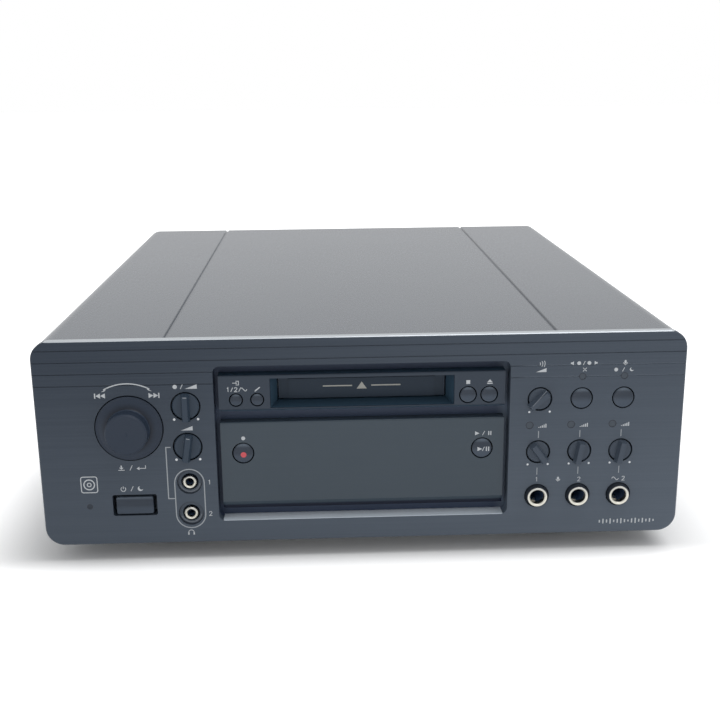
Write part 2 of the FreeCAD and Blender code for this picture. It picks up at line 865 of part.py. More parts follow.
board_high = size.panel_tall - size.board_from_top
left_board = rectangle(size.standby_across - size.left_board_margin, -tub_outer - size.board_side_gap,
                       size.board_low, board_high)
right_board_low = size.jack_row + size.jack_body_wide / 2 + size.board_side_gap
right_board_end = columns[2] + size.board_margin
right_board = rectangle(tub_outer + size.board_side_gap, right_board_end, right_board_low, board_high)
boss_high = board_high - size.boss_inset
boss_low = size.board_low + size.boss_inset
panel_bosses = [
    (left_board[0][0] + size.boss_inset, boss_high),
    (left_board[1][0] - size.boss_inset, boss_high),
    (left_board[0][0] + size.boss_inset, boss_low),
    (size.power_across + power_half_slot + size.boss_inset, boss_low),
    (right_board[0][0] + size.boss_inset, boss_high),
    (right_board[1][0] - size.boss_inset, boss_high),
    (right_board[0][0] + size.boss_inset, right_board_low + size.boss_inset),
    (right_board[1][0] - size.boss_inset, right_board_low + size.boss_inset),
]
frame = body("panel_frame")
frame_outline = rectangle(-frame_half, frame_half, frame_low, frame_high, frame_corner)
frame_holes = [(size.dial_across, size.dial_high, size.dial_shaft_radius + size.shaft_room)]
frame_holes += [(key[0], key[1], key[2] + size.key_gap) for key in panel_keys]
frame_holes += [(across, up, size.jack_ring_radius + size.clear_gap) for across, up in jack_spots.values()]
frame_holes += [(across, up, phones_hole) for across, up in phones_spots.values()]
stem_room = size.stem_radius + size.shaft_room
frame_windows = [square(across, up, stem_room) for across, up, _, _ in knobs.values()]
frame_windows += [square(across, up, radius + size.lamp_gap) for across, up, radius in lamps]
tub_hole = rectangle(
    -tub_outer - size.clear_gap,
    tub_outer + size.clear_gap,
    tub_low - size.clear_gap,
    tub_high + size.clear_gap,
    size.window_corner + size.tub_wall + size.clear_gap,
)
slab(frame, frame_outline, frame_front, frame_back)
slab_cut(frame, [tub_hole, power_slot, *frame_windows], frame_holes, frame_front, frame_back)
rim = sketch_on(frame, "XZ", frame_back)
add_outline(rim, frame_outline)
wall = size.frame_rim_wall
add_outline(rim, rectangle(wall - frame_half, frame_half - wall, frame_low + wall, frame_high - wall,
                           frame_corner - wall))
pad(frame, rim, size.frame_rim_deep - size.frame_plate, reverse=True)
bosses = sketch_on(frame, "XZ", frame_back)
for across, up in panel_bosses:
    add_outline(bosses, square(across, up, size.boss_half))
pad(frame, bosses, size.front_board_back - frame_back, reverse=True)
slab_cut(frame, seam_notches, [], cover_front - size.clear_gap, frame_front + size.frame_rim_deep)
node(frame, "panel_frame")

front_boards = {"left_board": left_board, "right_board": right_board}
for name, outline in front_boards.items():
    board = body(name)
    slab(board, outline, size.front_board_back, size.front_board_back + size.board_thick)
    node(board, name)


# ---------------------------------------------------------------- window tub, slot bar, flap and display

tub = body("window_tub")
tub_outline = rectangle(-tub_outer, tub_outer, tub_low, tub_high, size.window_corner + size.tub_wall)
slab(tub, tub_outline, frame_front, tub_back)
slab_cut(tub, [window], [], frame_front, size.tub_floor)
throat_half = size.throat_wide / 2 + size.throat_side
throat_bottom = size.throat_low - size.throat_roof
throat_top = size.throat_high + size.throat_roof
throat_hole = rectangle(-throat_half - size.clear_gap, throat_half + size.clear_gap,
                        throat_bottom - size.clear_gap, throat_top + size.clear_gap)
view_half = tube_half + size.view_margin
view = rectangle(-view_half, view_half, size.view_low, size.view_high, size.view_corner)
tub_key_holes = [(key[0], key[1], key[2] + size.key_gap) for key in bar_keys + window_keys]
slab_cut(tub, [throat_hole, view], tub_key_holes, size.tub_floor, tub_back)
slot_boss_high = throat_top + size.slot_boss_rise
tub_bosses = []
for side in (-1, 1):
    tub_bosses.append((display_boss_across * side, display_board_low + size.boss_inset))
    tub_bosses.append((display_boss_across * side, display_board_high - size.boss_inset))
    tub_bosses.append((slot_board_inner * side + size.boss_inset * side, slot_boss_high))
    tub_bosses.append((display_boss_across * side, slot_boss_high))
bosses = sketch_on(tub, "XZ", tub_back)
for across, up in tub_bosses:
    add_outline(bosses, square(across, up, size.boss_half))
pad(tub, bosses, size.display_board_back - tub_back, reverse=True)
node(tub, "window_tub")

bar = body("slot_bar")
side_profile(bar, [
    (size.bar_front, size.bar_low, size.bar_round),
    (size.tub_floor, size.bar_low),
    (size.tub_floor, size.bar_high),
    (size.bar_front, size.bar_high, size.bar_top_round),
], bar_half)
slab(bar, rectangle(-throat_half, throat_half, throat_bottom, throat_top), size.tub_floor, size.throat_end)
mouth = sketch_on(bar, "XZ", size.bar_front)
add_outline(mouth, rectangle(-size.slot_wide / 2, size.slot_wide / 2, size.slot_low, size.slot_high))
throat = rectangle(-size.throat_wide / 2, size.throat_wide / 2, size.throat_low, size.throat_high)
throat_mouth = sketch_on(bar, "XZ", size.throat_start)
add_outline(throat_mouth, throat)
funnel = bar.newObject("PartDesign::SubtractiveLoft", "slot_funnel")
funnel.Profile = mouth
funnel.Sections = [throat_mouth]
bar.Tip = funnel
cuts.append(funnel)
slab_cut(bar, [throat], [], size.throat_start, size.throat_end)
bar_holes = [(key[0], key[1], key[2] + size.key_gap) for key in bar_keys]
slab_cut(bar, [], bar_holes, size.bar_front, size.tub_floor)
trunnion_half = flap_half + size.trunnion_long
pivot_bore_half = trunnion_half + size.clear_gap
pivot_bore = sketch_on(bar, "YZ", pivot_bore_half)
add_circle(pivot_bore, size.flap_pivot_back, size.flap_pivot_high, size.trunnion_radius + size.running_gap)
pocket(bar, pivot_bore, pivot_bore_half * 2)
node(bar, "slot_bar")

# The flap turns on two trunnions moulded on the ends of its top barrel.
flap = body("slot_flap")
flap_front = size.flap_pivot_back - size.barrel_radius
slab(flap, rectangle(-flap_half, flap_half, size.flap_low, size.flap_pivot_high),
     flap_front, flap_front + size.flap_thick)
step_half = size.flap_step_wide / 2
slab(flap, rectangle(-step_half, step_half, size.flap_low, size.flap_pivot_high - size.flap_step),
     flap_front - size.flap_step, flap_front)
for half_long, radius in ((flap_half, size.barrel_radius), (trunnion_half, size.trunnion_radius)):
    barrel = sketch_on(flap, "YZ", -half_long)
    add_circle(barrel, size.flap_pivot_back, size.flap_pivot_high, radius)
    pad(flap, barrel, half_long * 2)
node(flap, "slot_flap")

display = body("display_window")
side_profile(display, [
    (size.display_front + size.display_bevel_deep, size.display_low),
    (size.tub_floor, size.display_low),
    (size.tub_floor, size.display_high),
    (size.display_front, size.display_high, size.bar_top_round),
    (size.display_front, size.display_low + size.display_bevel_tall),
], bar_half)
slab_cut(display, [view], [], size.display_front + size.display_wall, size.tub_floor)
window_holes = [(key[0], key[1], key[2] + size.key_gap) for key in window_keys]
slab_cut(display, [], window_holes, size.display_front, size.tub_floor)
node(display, "display_window")

tube = body("display_tube")
tube_outline = rectangle(-tube_half, tube_half, size.view_low + size.tube_inset,
                         size.view_high - size.tube_inset, size.view_corner)
slab(tube, tube_outline, size.display_board_back - size.tube_deep, size.display_board_back)
dress(tube, "Chamfer", size.display_tube_edge, flat_at(size.display_board_back - size.tube_deep))
node(tube, "display_tube")

board = body("display_board")
slab(board, rectangle(-display_board_half, display_board_half, display_board_low, display_board_high),
     size.display_board_back, size.display_board_back + size.board_thick)
node(board, "display_board")

slot_boards = []
for side in (-1, 1):
    inner, outer = slot_board_inner * side, display_board_half * side
    low_across, high_across = (inner, outer) if side == 1 else (outer, inner)
    slot_board_low = display_board_high + size.board_side_gap
    slot_boards.append(block("slot_key_board", (low_across, size.display_board_back, slot_board_low),
                             (high_across, size.display_board_back + size.board_thick, tub_high)))
node(group("slot_key_boards", slot_boards), "slot_key_boards")


# ---------------------------------------------------------------- jog dial

dial_rear = frame_front - size.dial_travel - size.clear_gap
dial_skirt = size.dial_radius - size.dial_wall
dial_bore = size.dial_shaft_radius + size.running_gap
shaft_nose = size.dial_nose_wall - size.dial_proud
dial = turned("jog_dial", [
    (size.dial_dish - size.dial_proud, 0),
    *bevelled(-size.dial_proud, size.dial_boss_radius, size.dial_rim_edge),
    (-size.dial_flare_rise, size.dial_boss_radius, size.dial_flare_round),
    (-size.dial_flush, size.dial_flare_radius, size.dial_flare_round),
    (-size.dial_flush, size.dial_radius),
    (dial_rear, size.dial_radius),
    (dial_rear, dial_skirt),
    (size.dial_wall, dial_skirt),
    (size.dial_wall, size.dial_hub_radius),
    (dial_rear, size.dial_hub_radius),
    (dial_rear, dial_bore),
    (shaft_nose, dial_bore),
    (shaft_nose, 0),
])
dial_spot = (size.dial_across, 0, size.dial_high)
node(dial, "jog_dial", dial_spot)

shaft_end = size.front_board_back - size.dial_travel - size.clear_gap
shaft = turned("jog_shaft", [
    (shaft_nose + size.running_gap, 0),
    (shaft_nose + size.running_gap, size.dial_shaft_radius),
    (shaft_end, size.dial_shaft_radius),
    (shaft_end, 0),
])
node(shaft, "jog_shaft", dial_spot)

rotor_radius = size.dial_shaft_radius + size.rotor_wall
rotor_front = behind_frame + size.encoder_nose + size.encoder_wall
rotor_back = size.front_board_back - size.encoder_wall
encoder_half = size.encoder_wide / 2
encoder = body("encoder_case")
slab(encoder, rectangle(-encoder_half, encoder_half, -encoder_half, encoder_half, size.encoder_corner),
     behind_frame + size.encoder_nose, size.front_board_back)
nose = sketch_on(encoder, "XZ", behind_frame)
add_circle(nose, 0, 0, rotor_radius)
pad(encoder, nose, size.encoder_nose, reverse=True)
slab_cut(encoder, [], [(0, 0, dial_bore)], behind_frame, size.front_board_back)
slab_cut(encoder, [], [(0, 0, rotor_radius + size.running_gap)], rotor_front, size.front_board_back)
node(encoder, "encoder_case", dial_spot)

rotor = body("encoder_rotor")
ring = sketch_on(rotor, "XZ", rotor_front + size.clear_gap)
add_circle(ring, 0, 0, rotor_radius)
add_circle(ring, 0, 0, dial_bore)
pad(rotor, ring, rotor_back - rotor_front - size.clear_gap * 2, reverse=True)
node(rotor, "encoder_rotor", dial_spot)


# ---------------------------------------------------------------- level knobs and their pots

pot_front = behind_frame + size.encoder_nose
stem_end = size.front_board_back - size.encoder_wall - size.clear_gap
for name, (across, up, radius, turn) in knobs.items():
    knob = turned(name, [
        (-size.knob_proud, 0),
        *bevelled(-size.knob_proud, radius, size.knob_edge),
        (size.knob_deep, radius),
        (size.knob_deep, size.stem_radius),
        (stem_end, size.stem_radius),
        (stem_end, 0),
    ])
    ridge_root = sketch_on(knob, "XZ")
    half_base = size.ridge_base / 2
    root_half = radius - size.knob_edge
    add_outline(ridge_root, rectangle(-half_base, half_base, -root_half, root_half))
    pad(knob, ridge_root, size.clear_gap)
    ridge = sketch_on(knob, "XZ", -size.clear_gap)
    ridge_tail = radius + size.knob_ring_gap + size.ridge_overhang
    add_outline(ridge, rectangle(-half_base, half_base, -ridge_tail, radius, size.ridge_round))
    blade = pad(knob, ridge, size.ridge_proud - size.clear_gap)
    lean = (size.ridge_base - size.ridge_top) / 2 / (size.ridge_proud - size.clear_gap)
    blade.setExpression("TaperAngle", f"-atan({lean.rule})")
    node(knob, name, (across, 0, up), (0, 1, 0), turn)

pots = []
for across, up, _, _ in knobs.values():
    half = size.pot_wide / 2
    case = block("pot_case", (across - half, pot_front, up - half),
                 (across + half, size.front_board_back, up + half))
    bore = rod("pot_bore", "y", (across, pot_front, up), stem_end + size.clear_gap - pot_front,
               size.stem_radius + size.running_gap)
    pots.append(cut("level_pot", case, bore))
node(group("level_pots", pots), "level_pots")


# ---------------------------------------------------------------- buttons and their switches

switch_room = size.switch_deep + size.plunger_proud + size.clear_gap
for name, (across, up, radius, front, wall_back, board_front) in round_keys.items():
    collar_front = wall_back + size.clear_gap
    collar_back = collar_front + size.key_collar_thick
    stem_back = board_front - switch_room - size.key_travel
    key = turned(name, [
        (front, 0),
        *bevelled(front, radius, size.key_edge),
        (collar_front, radius),
        (collar_front, radius + size.key_collar),
        (collar_back, radius + size.key_collar),
        (collar_back, size.key_stem_radius),
        (stem_back, size.key_stem_radius),
        (stem_back, 0),
    ])
    node(key, name, (across, 0, up))

power = body("power_key")
power_half = size.power_wide / 2
power_half_tall = size.power_tall / 2
collar_back = behind_frame + size.key_collar_thick
slab(power, rectangle(-power_half, power_half, -power_half_tall, power_half_tall, size.power_corner),
     -size.power_proud, behind_frame)
collar_reach = (size.power_slot_wide - size.power_wide) / 2 + size.key_collar
slab(power, rectangle(-power_half - collar_reach, power_half + collar_reach,
                      -power_half_tall - collar_reach, power_half_tall + collar_reach),
     behind_frame, collar_back)
power_stem = sketch_on(power, "XZ", collar_back)
add_circle(power_stem, 0, 0, size.key_stem_radius)
pad(power, power_stem, size.front_board_back - switch_room - size.power_travel - collar_back, reverse=True)
hollow_back = size.power_dish - size.power_proud - size.power_hollow_radius
hollow = rod("power_hollow", "x", (-power_half, hollow_back, 0), size.power_wide, size.power_hollow_radius)
node(cut("power_button", power, hollow), "power_button", (size.power_across, 0, size.power_high))

switches = []
switch_spots = [(key[0], key[1], key[5]) for key in round_keys.values()]
switch_spots.append((size.power_across, size.power_high, size.front_board_back))
for across, up, board_front in switch_spots:
    half = size.switch_wide / 2
    case_front = board_front - size.switch_deep
    case = block("switch_case", (across - half, case_front, up - half),
                 (across + half, board_front, up + half))
    tip = size.plunger_half
    plunger = block("switch_plunger", (across - tip, case_front - size.plunger_proud, up - tip),
                    (across + tip, case_front, up + tip))
    switches.append(fuse("tact_switch", case, plunger))
node(group("tact_switches", switches), "tact_switches")


# ---------------------------------------------------------------- jacks and lamps

def jack(name, front, ring_radius, collar, hole_radius, body_wide, body_back, bore_deep):
    """A jack: a ring seen in the fascia, a square case behind the frame, and a blind bore."""
    owner = turned(name, [
        (front, 0),
        *bevelled(front, ring_radius, size.jack_edge),
        *collar,
        (behind_frame, ring_radius),
        (behind_frame, 0),
    ])
    half = body_wide / 2
    slab(owner, rectangle(-half, half, -half, half), behind_frame, body_back)
    slab_cut(owner, [], [(0, 0, hole_radius)], front, front + bore_deep)
    mouth = number(hole_radius)
    dress(owner, "Chamfer", size.jack_edge,
          lambda box: flat_at(front)(box) and abs(box.XMax - mouth) < 1e-3)
    return owner


# The larger jacks stand proud of the fascia on a tapered collar that fills their opening.
collar_back = size.panel_thick - size.clear_gap
collar = [
    (0, size.jack_collar_radius),
    (collar_back, size.jack_collar_radius),
    (collar_back, size.jack_ring_radius),
]
for name, (across, up) in jack_spots.items():
    socket = jack(name, size.jack_front, size.jack_ring_radius, collar, size.jack_hole_radius,
                  size.jack_body_wide, size.jack_front + size.jack_deep,
                  size.jack_deep - size.jack_end_wall)
    node(socket, name, (across, 0, up))
for name, (across, up) in phones_spots.items():
    socket = jack(name, size.phones_jack_front, size.phones_ring_radius, [], size.phones_hole_radius,
                  size.phones_body_wide, size.front_board_back, size.phones_jack_deep - size.jack_end_wall)
    node(socket, name, (across, 0, up))

lamp_bodies = []
for across, up, radius in lamps:
    lamp_long = size.front_board_back - size.lamp_set_back
    lamp_bodies.append(rod("status_lamp", "y", (across, size.lamp_set_back, up), lamp_long, radius))
node(group("status_lamps", lamp_bodies), "status_lamps")


# ---------------------------------------------------------------- cover, tray, rear panel and feet

cover = body("top_cover")
outer_half = half_panel - size.cover_inset
outer_low = size.cover_inset
outer_high = size.panel_tall - size.cover_inset
outer_corner = size.panel_corner - size.cover_inset
inner_half = outer_half - size.cover_wall
inner_low = outer_low + size.cover_wall
inner_high = outer_high - size.cover_wall
inner_corner = outer_corner - size.cover_wall
flange_end = outer_half - size.cover_flange
half_seam = size.seam_wide / 2


def seam(middle, top, spread, direction):
    """The four corners of one pressed seam, crossed in the given direction."""
    offsets = (-half_seam - spread, -half_seam / 2 - spread, half_seam / 2 + spread, half_seam + spread)
    drops = (0, size.seam_deep, size.seam_deep, 0)
    corners = [(middle + offset, top - drop) for offset, drop in zip(offsets, drops)]
    return corners if direction > 0 else corners[::-1]


cover_profile = [
    (flange_end, outer_low),
    (outer_half, outer_low, outer_corner),
    (outer_half, outer_high, outer_corner),
    *seam(size.seam_across, outer_high, 0, -1),
    *seam(-size.seam_across, outer_high, 0, -1),
    (-outer_half, outer_high, outer_corner),
    (-outer_half, outer_low, outer_corner),
    (-flange_end, outer_low),
    (-flange_end, inner_low),
    (-inner_half, inner_low, inner_corner),
    (-inner_half, inner_high, inner_corner),
    *seam(-size.seam_across, inner_high, size.seam_spread, 1),
    *seam(size.seam_across, inner_high, size.seam_spread, 1),
    (inner_half, inner_high, inner_corner),
    (inner_half, inner_low, inner_corner),
    (flange_end, inner_low),
]
slab(cover, cover_profile, cover_front, size.case_deep)
top_screw_high = inner_high - size.cover_tab_tall / 2
low_screw_high = tray_low + size.tray_rear_tall / 2
screw_hole = size.screw_radius + size.running_gap
half_tab = size.cover_tab_wide / 2
tab_low = inner_high - size.cover_tab_tall
tab_front = rear_front - size.cover_wall
for side in (-1, 1):
    tab_middle = size.rear_screw_across * side
    slab(cover, rectangle(tab_middle - half_tab, tab_middle + half_tab, tab_low, inner_high),
         tab_front, rear_front)
top_screws = [(size.rear_screw_across * side, top_screw_high) for side in (-1, 1)]
low_screws = [(size.rear_screw_across * side, low_screw_high) for side in (-1, 1)]
slab_cut(cover, [], [(across, up, screw_hole) for across, up in top_screws], tab_front, rear_front)
node(cover, "top_cover")

tray = body("base_tray")
tray_half = inner_half - size.clear_gap
tray_corner = inner_corner - size.slide_gap
tray_side_top = tray_low + size.tray_side_tall
slab(tray, [
    (-tray_half, tray_low, tray_corner),
    (tray_half, tray_low, tray_corner),
    (tray_half, tray_side_top),
    (tray_half - size.tray_wall, tray_side_top),
    (tray_half - size.tray_wall, tray_top, tray_corner - size.tray_wall),
    (size.tray_wall - tray_half, tray_top, tray_corner - size.tray_wall),
    (size.tray_wall - tray_half, tray_side_top),
    (-tray_half, tray_side_top),
], tray_front, rear_front)
lip_half = tray_half - tray_corner
rear_lip_front = rear_front - size.tray_wall
for lip_front, lip_tall in ((tray_front, size.tray_front_tall), (rear_lip_front, size.tray_rear_tall)):
    slab(tray, rectangle(-lip_half, lip_half, tray_low, tray_low + lip_tall),
         lip_front, lip_front + size.tray_wall)
posts = sketch_on(tray, "XY", tray_top)
for post_across in (main_board_start + size.post_inset, main_board_end - size.post_inset):
    for post_back in (main_board_front + size.post_inset, main_board_rear - size.post_inset):
        add_circle(posts, post_across, post_back, size.post_radius)
pad(tray, posts, size.main_board_high - tray_top)
foot_backs = (size.foot_front, size.foot_rear)
foot_spots = [(size.foot_across * side, back) for side in (-1, 1) for back in foot_backs]
foot_holes = sketch_on(tray, "XY", tray_top)
for across, back in foot_spots:
    add_circle(foot_holes, across, back, screw_hole)
pocket(tray, foot_holes, size.tray_wall)
slab_cut(tray, [], [(across, up, screw_hole) for across, up in low_screws], rear_lip_front, rear_front)
node(tray, "base_tray")

rca_spots = []
for across in (size.rca_first_across, size.rca_first_across + size.rca_pitch_across):
    for up in (size.rca_low, size.rca_low + size.rca_pitch_up):
        rca_spots.append((across, up))
rca_face = rectangle(
    size.rca_first_across - size.rca_face_margin,
    size.rca_first_across + size.rca_pitch_across + size.rca_face_margin,
    size.rca_low - size.rca_face_margin,
    size.rca_low + size.rca_pitch_up + size.rca_face_margin,
)
optical_faces = []
for i in range(2):
    middle = size.optical_first_across + size.optical_pitch * i
    optical_faces.append(rectangle(middle - size.optical_wide / 2, middle + size.optical_wide / 2,
                                   board_top, board_top + size.optical_tall))
inlet_face = rectangle(
    size.inlet_across - size.inlet_wide / 2,
    size.inlet_across + size.inlet_wide / 2,
    size.inlet_high - size.inlet_tall / 2,
    size.inlet_high + size.inlet_tall / 2,
)


def grown(corners, gap):
    """A rectangle with a gap added all round."""
    (low_across, low), _, (high_across, high), _ = corners
    return rectangle(low_across - gap, high_across + gap, low - gap, high + gap)


rear = body("rear_panel")
slab(rear, rectangle(-tray_half, tray_half, tray_low, inner_high - size.clear_gap, tray_corner),
     rear_front, rear_back)
rear_cuts = [grown(face, size.clear_gap) for face in (rca_face, inlet_face, *optical_faces)]
rear_holes = [(across, up, screw_hole) for across, up in top_screws + low_screws]
slab_cut(rear, rear_cuts + seam_notches, rear_holes, rear_front, rear_back)
node(rear, "rear_panel")

foot_base = size.pad_proud - size.foot_drop
pad_top = size.pad_thick - size.foot_drop
screw_seat = pad_top + size.foot_screw_deep
foot_hole = size.screw_radius + size.running_gap
feet, pads, screws = [], [], []
for across, back in foot_spots:
    foot = turned("foot", [
        (foot_hole, tray_low),
        (size.foot_radius, tray_low),
        (size.foot_radius, foot_base + size.foot_edge),
        (size.foot_radius - size.foot_edge, foot_base),
        (size.pad_radius + size.running_gap, foot_base),
        (size.pad_radius + size.running_gap, pad_top),
        (size.screw_head_radius + size.clear_gap, pad_top),
        (size.screw_head_radius + size.clear_gap, screw_seat),
        (foot_hole, screw_seat),
    ], axis="z")
    feet.append(put(foot, (across, back, 0)))
    pads.append(rod("foot_pad", "z", (across, back, -size.foot_drop), size.pad_thick, size.pad_radius))
    head = rod("screw_head", "z", (across, back, screw_seat - size.screw_head_thick), size.screw_head_thick,
               size.screw_head_radius)
    shank = rod("screw_shank", "z", (across, back, screw_seat), tray_top + size.tray_wall - screw_seat,
                size.screw_radius)
    screws.append(fuse("case_screw", head, shank))
for across, up in top_screws + low_screws:
    head = rod("screw_head", "y", (across, rear_back, up), size.screw_head_thick, size.screw_head_radius)
    shank = rod("screw_shank", "y", (across, rear_back - size.rear_screw_long, up), size.rear_screw_long,
                size.screw_radius)
    screws.append(fuse("case_screw", head, shank))
node(group("feet", feet), "feet")
node(group("foot_pads", pads), "foot_pads")
node(group("case_screws", screws), "case_screws")


# ---------------------------------------------------------------- rear sockets and mains inlet

socket_end = size.case_deep + size.socket_proud
block_front = rear_front - size.rca_block_deep
rca = body("line_sockets")
rca_case = rectangle(rca_face[0][0] - size.rca_step, rca_face[1][0] + size.rca_step, board_top,
                     rca_face[2][1] + size.rca_step)
slab(rca, rca_case, block_front, rear_front - size.clear_gap)
slab(rca, rca_face, rear_front - size.clear_gap, rear_back + size.rca_face_proud)
barrels = sketch_on(rca, "XZ", rear_back + size.rca_face_proud)
for across, up in rca_spots:
    add_circle(barrels, across, up, size.rca_radius)
pad(rca, barrels, socket_end - rear_back - size.rca_face_proud, reverse=True)
slab_cut(rca, [], [(across, up, size.rca_bore_radius) for across, up in rca_spots],
         socket_end - size.rca_bore_deep, socket_end)
node(rca, "line_sockets")

optical = []
for low, across_end, high, _ in optical_faces:
    face_back = rear_back + size.optical_proud
    case = block("optical_case", (low[0], block_front, low[1]), (high[0], face_back, high[1]))
    shutter = block(
        "optical_recess",
        (low[0] + size.optical_rim, face_back - size.optical_rim, low[1] + size.optical_rim),
        (high[0] - size.optical_rim, face_back, high[1] - size.optical_rim),
    )
    optical.append(cut("optical_socket", case, shutter))
node(group("optical_sockets", optical), "optical_sockets")

inlet = body("mains_inlet")
inlet_flange_back = rear_back + size.inlet_flange_thick
slab(inlet, inlet_face, rear_back - size.inlet_deep, rear_back)
slab(inlet, grown(inlet_face, size.inlet_flange), rear_back, inlet_flange_back)
inlet_well = rectangle(
    inlet_face[0][0] + size.inlet_wall,
    inlet_face[1][0] - size.inlet_wall,
    inlet_face[0][1] + size.inlet_wall,
    inlet_face[2][1] - size.inlet_wall,
    size.inlet_well_round,
)
well_front = inlet_flange_back - size.inlet_well_deep
slab_cut(inlet, [inlet_well], [], well_front, inlet_flange_back)
pins = sketch_on(inlet, "XZ", well_front)
for side in (-1, 1):
    pin_across = size.inlet_across + size.inlet_pin_apart / 2 * side
    add_circle(pins, pin_across, size.inlet_high, size.inlet_pin_radius)
pad(inlet, pins, size.inlet_well_deep - size.inlet_pin_short, reverse=True)
node(inlet, "mains_inlet")


# ---------------------------------------------------------------- main board and transformer

main_low = (main_board_start, main_board_front, size.main_board_high)
main_high = (main_board_end, main_board_rear, board_top)
node(block("main_board", main_low, main_high), "main_board", main_low)

core = body("transformer_core")
half_core = size.core_wide / 2
limb = size.core_limb
window_low_edge = tray_top + limb / 2
window_high_edge = tray_top + size.core_tall - limb / 2
core_windows = []
for side in (-1, 1):
    near, far = limb / 2 * side, (half_core - limb / 2) * side
    low_across, high_across = (near, far) if side == 1 else (far, near)
    core_windows.append(rectangle(low_across, high_across, window_low_edge, window_high_edge))
half_stack = size.core_stack / 2
slab(core, rectangle(-half_core, half_core, tray_top, tray_top + size.core_tall), -half_stack, half_stack)
slab_cut(core, core_windows, [], -half_stack, half_stack)
node(core, "transformer_core", (size.core_across, size.core_back, 0))

coil = body("transformer_coil")
winding = sketch_on(coil, "XY", window_low_edge + size.clear_gap)
coil_half = half_core - limb / 2 - size.clear_gap
half_coil_deep = size.coil_deep / 2
add_outline(winding, rectangle(-coil_half, coil_half, -half_coil_deep, half_coil_deep, size.coil_round))
limb_half = limb / 2 + size.clear_gap
stack_half = half_stack + size.clear_gap
add_outline(winding, rectangle(-limb_half, limb_half, -stack_half, stack_half))
pad(coil, winding, window_high_edge - window_low_edge - size.clear_gap * 2)
node(coil, "transformer_coil", (size.core_across, size.core_back, 0))


# ---------------------------------------------------------------- disc mechanism

deck_top = size.deck_plate_high + size.deck_wall
deck_rear = size.deck_front + size.holder_deep
holder_inner_half = (size.cartridge_wide + size.holder_gap * 2) / 2
holder_outer_half = holder_inner_half + size.holder_wall
holder_inner_low = size.holder_low + size.holder_wall
holder_inner_high = holder_inner_low + size.cartridge_thick + size.holder_gap
holder_outer_high = holder_inner_high + size.holder_wall
side_inner = holder_outer_half + size.holder_side_gap
side_outer = side_inner + size.deck_wall
deck_half = side_outer + size.deck_ledge
deck_side_top = holder_outer_high - size.clear_gap
pin_high = (size.holder_low + holder_outer_high) / 2
holder_rear = size.holder_front + size.holder_deep
pin_backs = [size.holder_front + size.pin_from_end, holder_rear - size.pin_from_end]

brackets = []
bracket_front = size.deck_front + size.bracket_inset
for side in (-1, 1):
    bracket = body("deck_bracket")
    wall_in, wall_out = (deck_half - size.bracket_wall) * side, deck_half * side
    top_in, foot_out = (deck_half - size.bracket_foot) * side, (deck_half + size.bracket_foot) * side
    slab(bracket, [
        (wall_in, tray_top),
        (foot_out, tray_top),
        (foot_out, tray_top + size.bracket_wall),
        (wall_out, tray_top + size.bracket_wall),
        (wall_out, size.deck_plate_high),
        (top_in, size.deck_plate_high),
        (top_in, size.deck_plate_high - size.bracket_wall),
        (wall_in, size.deck_plate_high - size.bracket_wall),
    ][::side], bracket_front, bracket_front + size.bracket_deep)
    brackets.append(bracket)
node(group("deck_brackets", brackets), "deck_brackets")

sled_half = size.sled_wide / 2
sled_low = size.rod_high - size.sled_thick / 2
rod_backs = [size.spindle_back - size.rod_apart / 2, size.spindle_back + size.rod_apart / 2]
lead_back = rod_backs[1] + size.lead_beyond
inner_tab = size.sled_across - sled_half - size.sled_end_gap - size.tab_wall
outer_tab = size.sled_across + sled_half + size.sled_travel + size.sled_end_gap
deck_frame = body("deck_frame")
slab(deck_frame, [
    (-deck_half, size.deck_plate_high),
    (deck_half, size.deck_plate_high),
    (deck_half, deck_top),
    (side_outer, deck_top),
    (side_outer, deck_side_top),
    (side_inner, deck_side_top),
    (side_inner, deck_top),
    (-side_inner, deck_top),
    (-side_inner, deck_side_top),
    (-side_outer, deck_side_top),
    (-side_outer, deck_top),
    (-deck_half, deck_top),
], size.deck_front, deck_rear)
guide_half = size.holder_pin_radius + size.running_gap
guides = sketch_on(deck_frame, "YZ", side_outer)
guide_low = pin_high - size.holder_travel - size.holder_pin_radius - size.clear_gap
for back in pin_backs:
    add_outline(guides, rectangle(back - guide_half, back + guide_half, guide_low, deck_side_top))
pocket(deck_frame, guides, side_outer * 2)
floor_cuts = sketch_on(deck_frame, "XY", deck_top)
add_circle(floor_cuts, 0, size.spindle_back, size.spindle_shaft_radius + size.shaft_room)
turret_low = size.lens_across - size.turret_radius - size.clear_gap
turret_high = size.lens_across + size.turret_radius + size.sled_travel + size.clear_gap
turret_half = size.turret_radius + size.clear_gap
add_outline(floor_cuts, rectangle(turret_low, turret_high, size.spindle_back - turret_half,
                                  size.spindle_back + turret_half))
pocket(deck_frame, floor_cuts, size.deck_wall)
tabs = sketch_on(deck_frame, "XY", sled_low)
for tab_start in (inner_tab, outer_tab):
    for back in rod_backs:
        add_outline(tabs, rectangle(tab_start, tab_start + size.tab_wall,
                                    back - size.tab_half, back + size.tab_half))
add_outline(tabs, rectangle(outer_tab, outer_tab + size.tab_wall,
                            lead_back - size.tab_half + size.clear_gap, lead_back + size.tab_half))
pad(deck_frame, tabs, size.deck_plate_high - sled_low)
tab_bores = sketch_on(deck_frame, "YZ", outer_tab + size.tab_wall)
for back in rod_backs:
    add_circle(tab_bores, back, size.rod_high, size.rod_radius + size.running_gap)
add_circle(tab_bores, lead_back, size.rod_high, size.lead_radius + size.running_gap)
pocket(deck_frame, tab_bores, outer_tab + size.tab_wall - inner_tab)
node(deck_frame, "deck_frame")

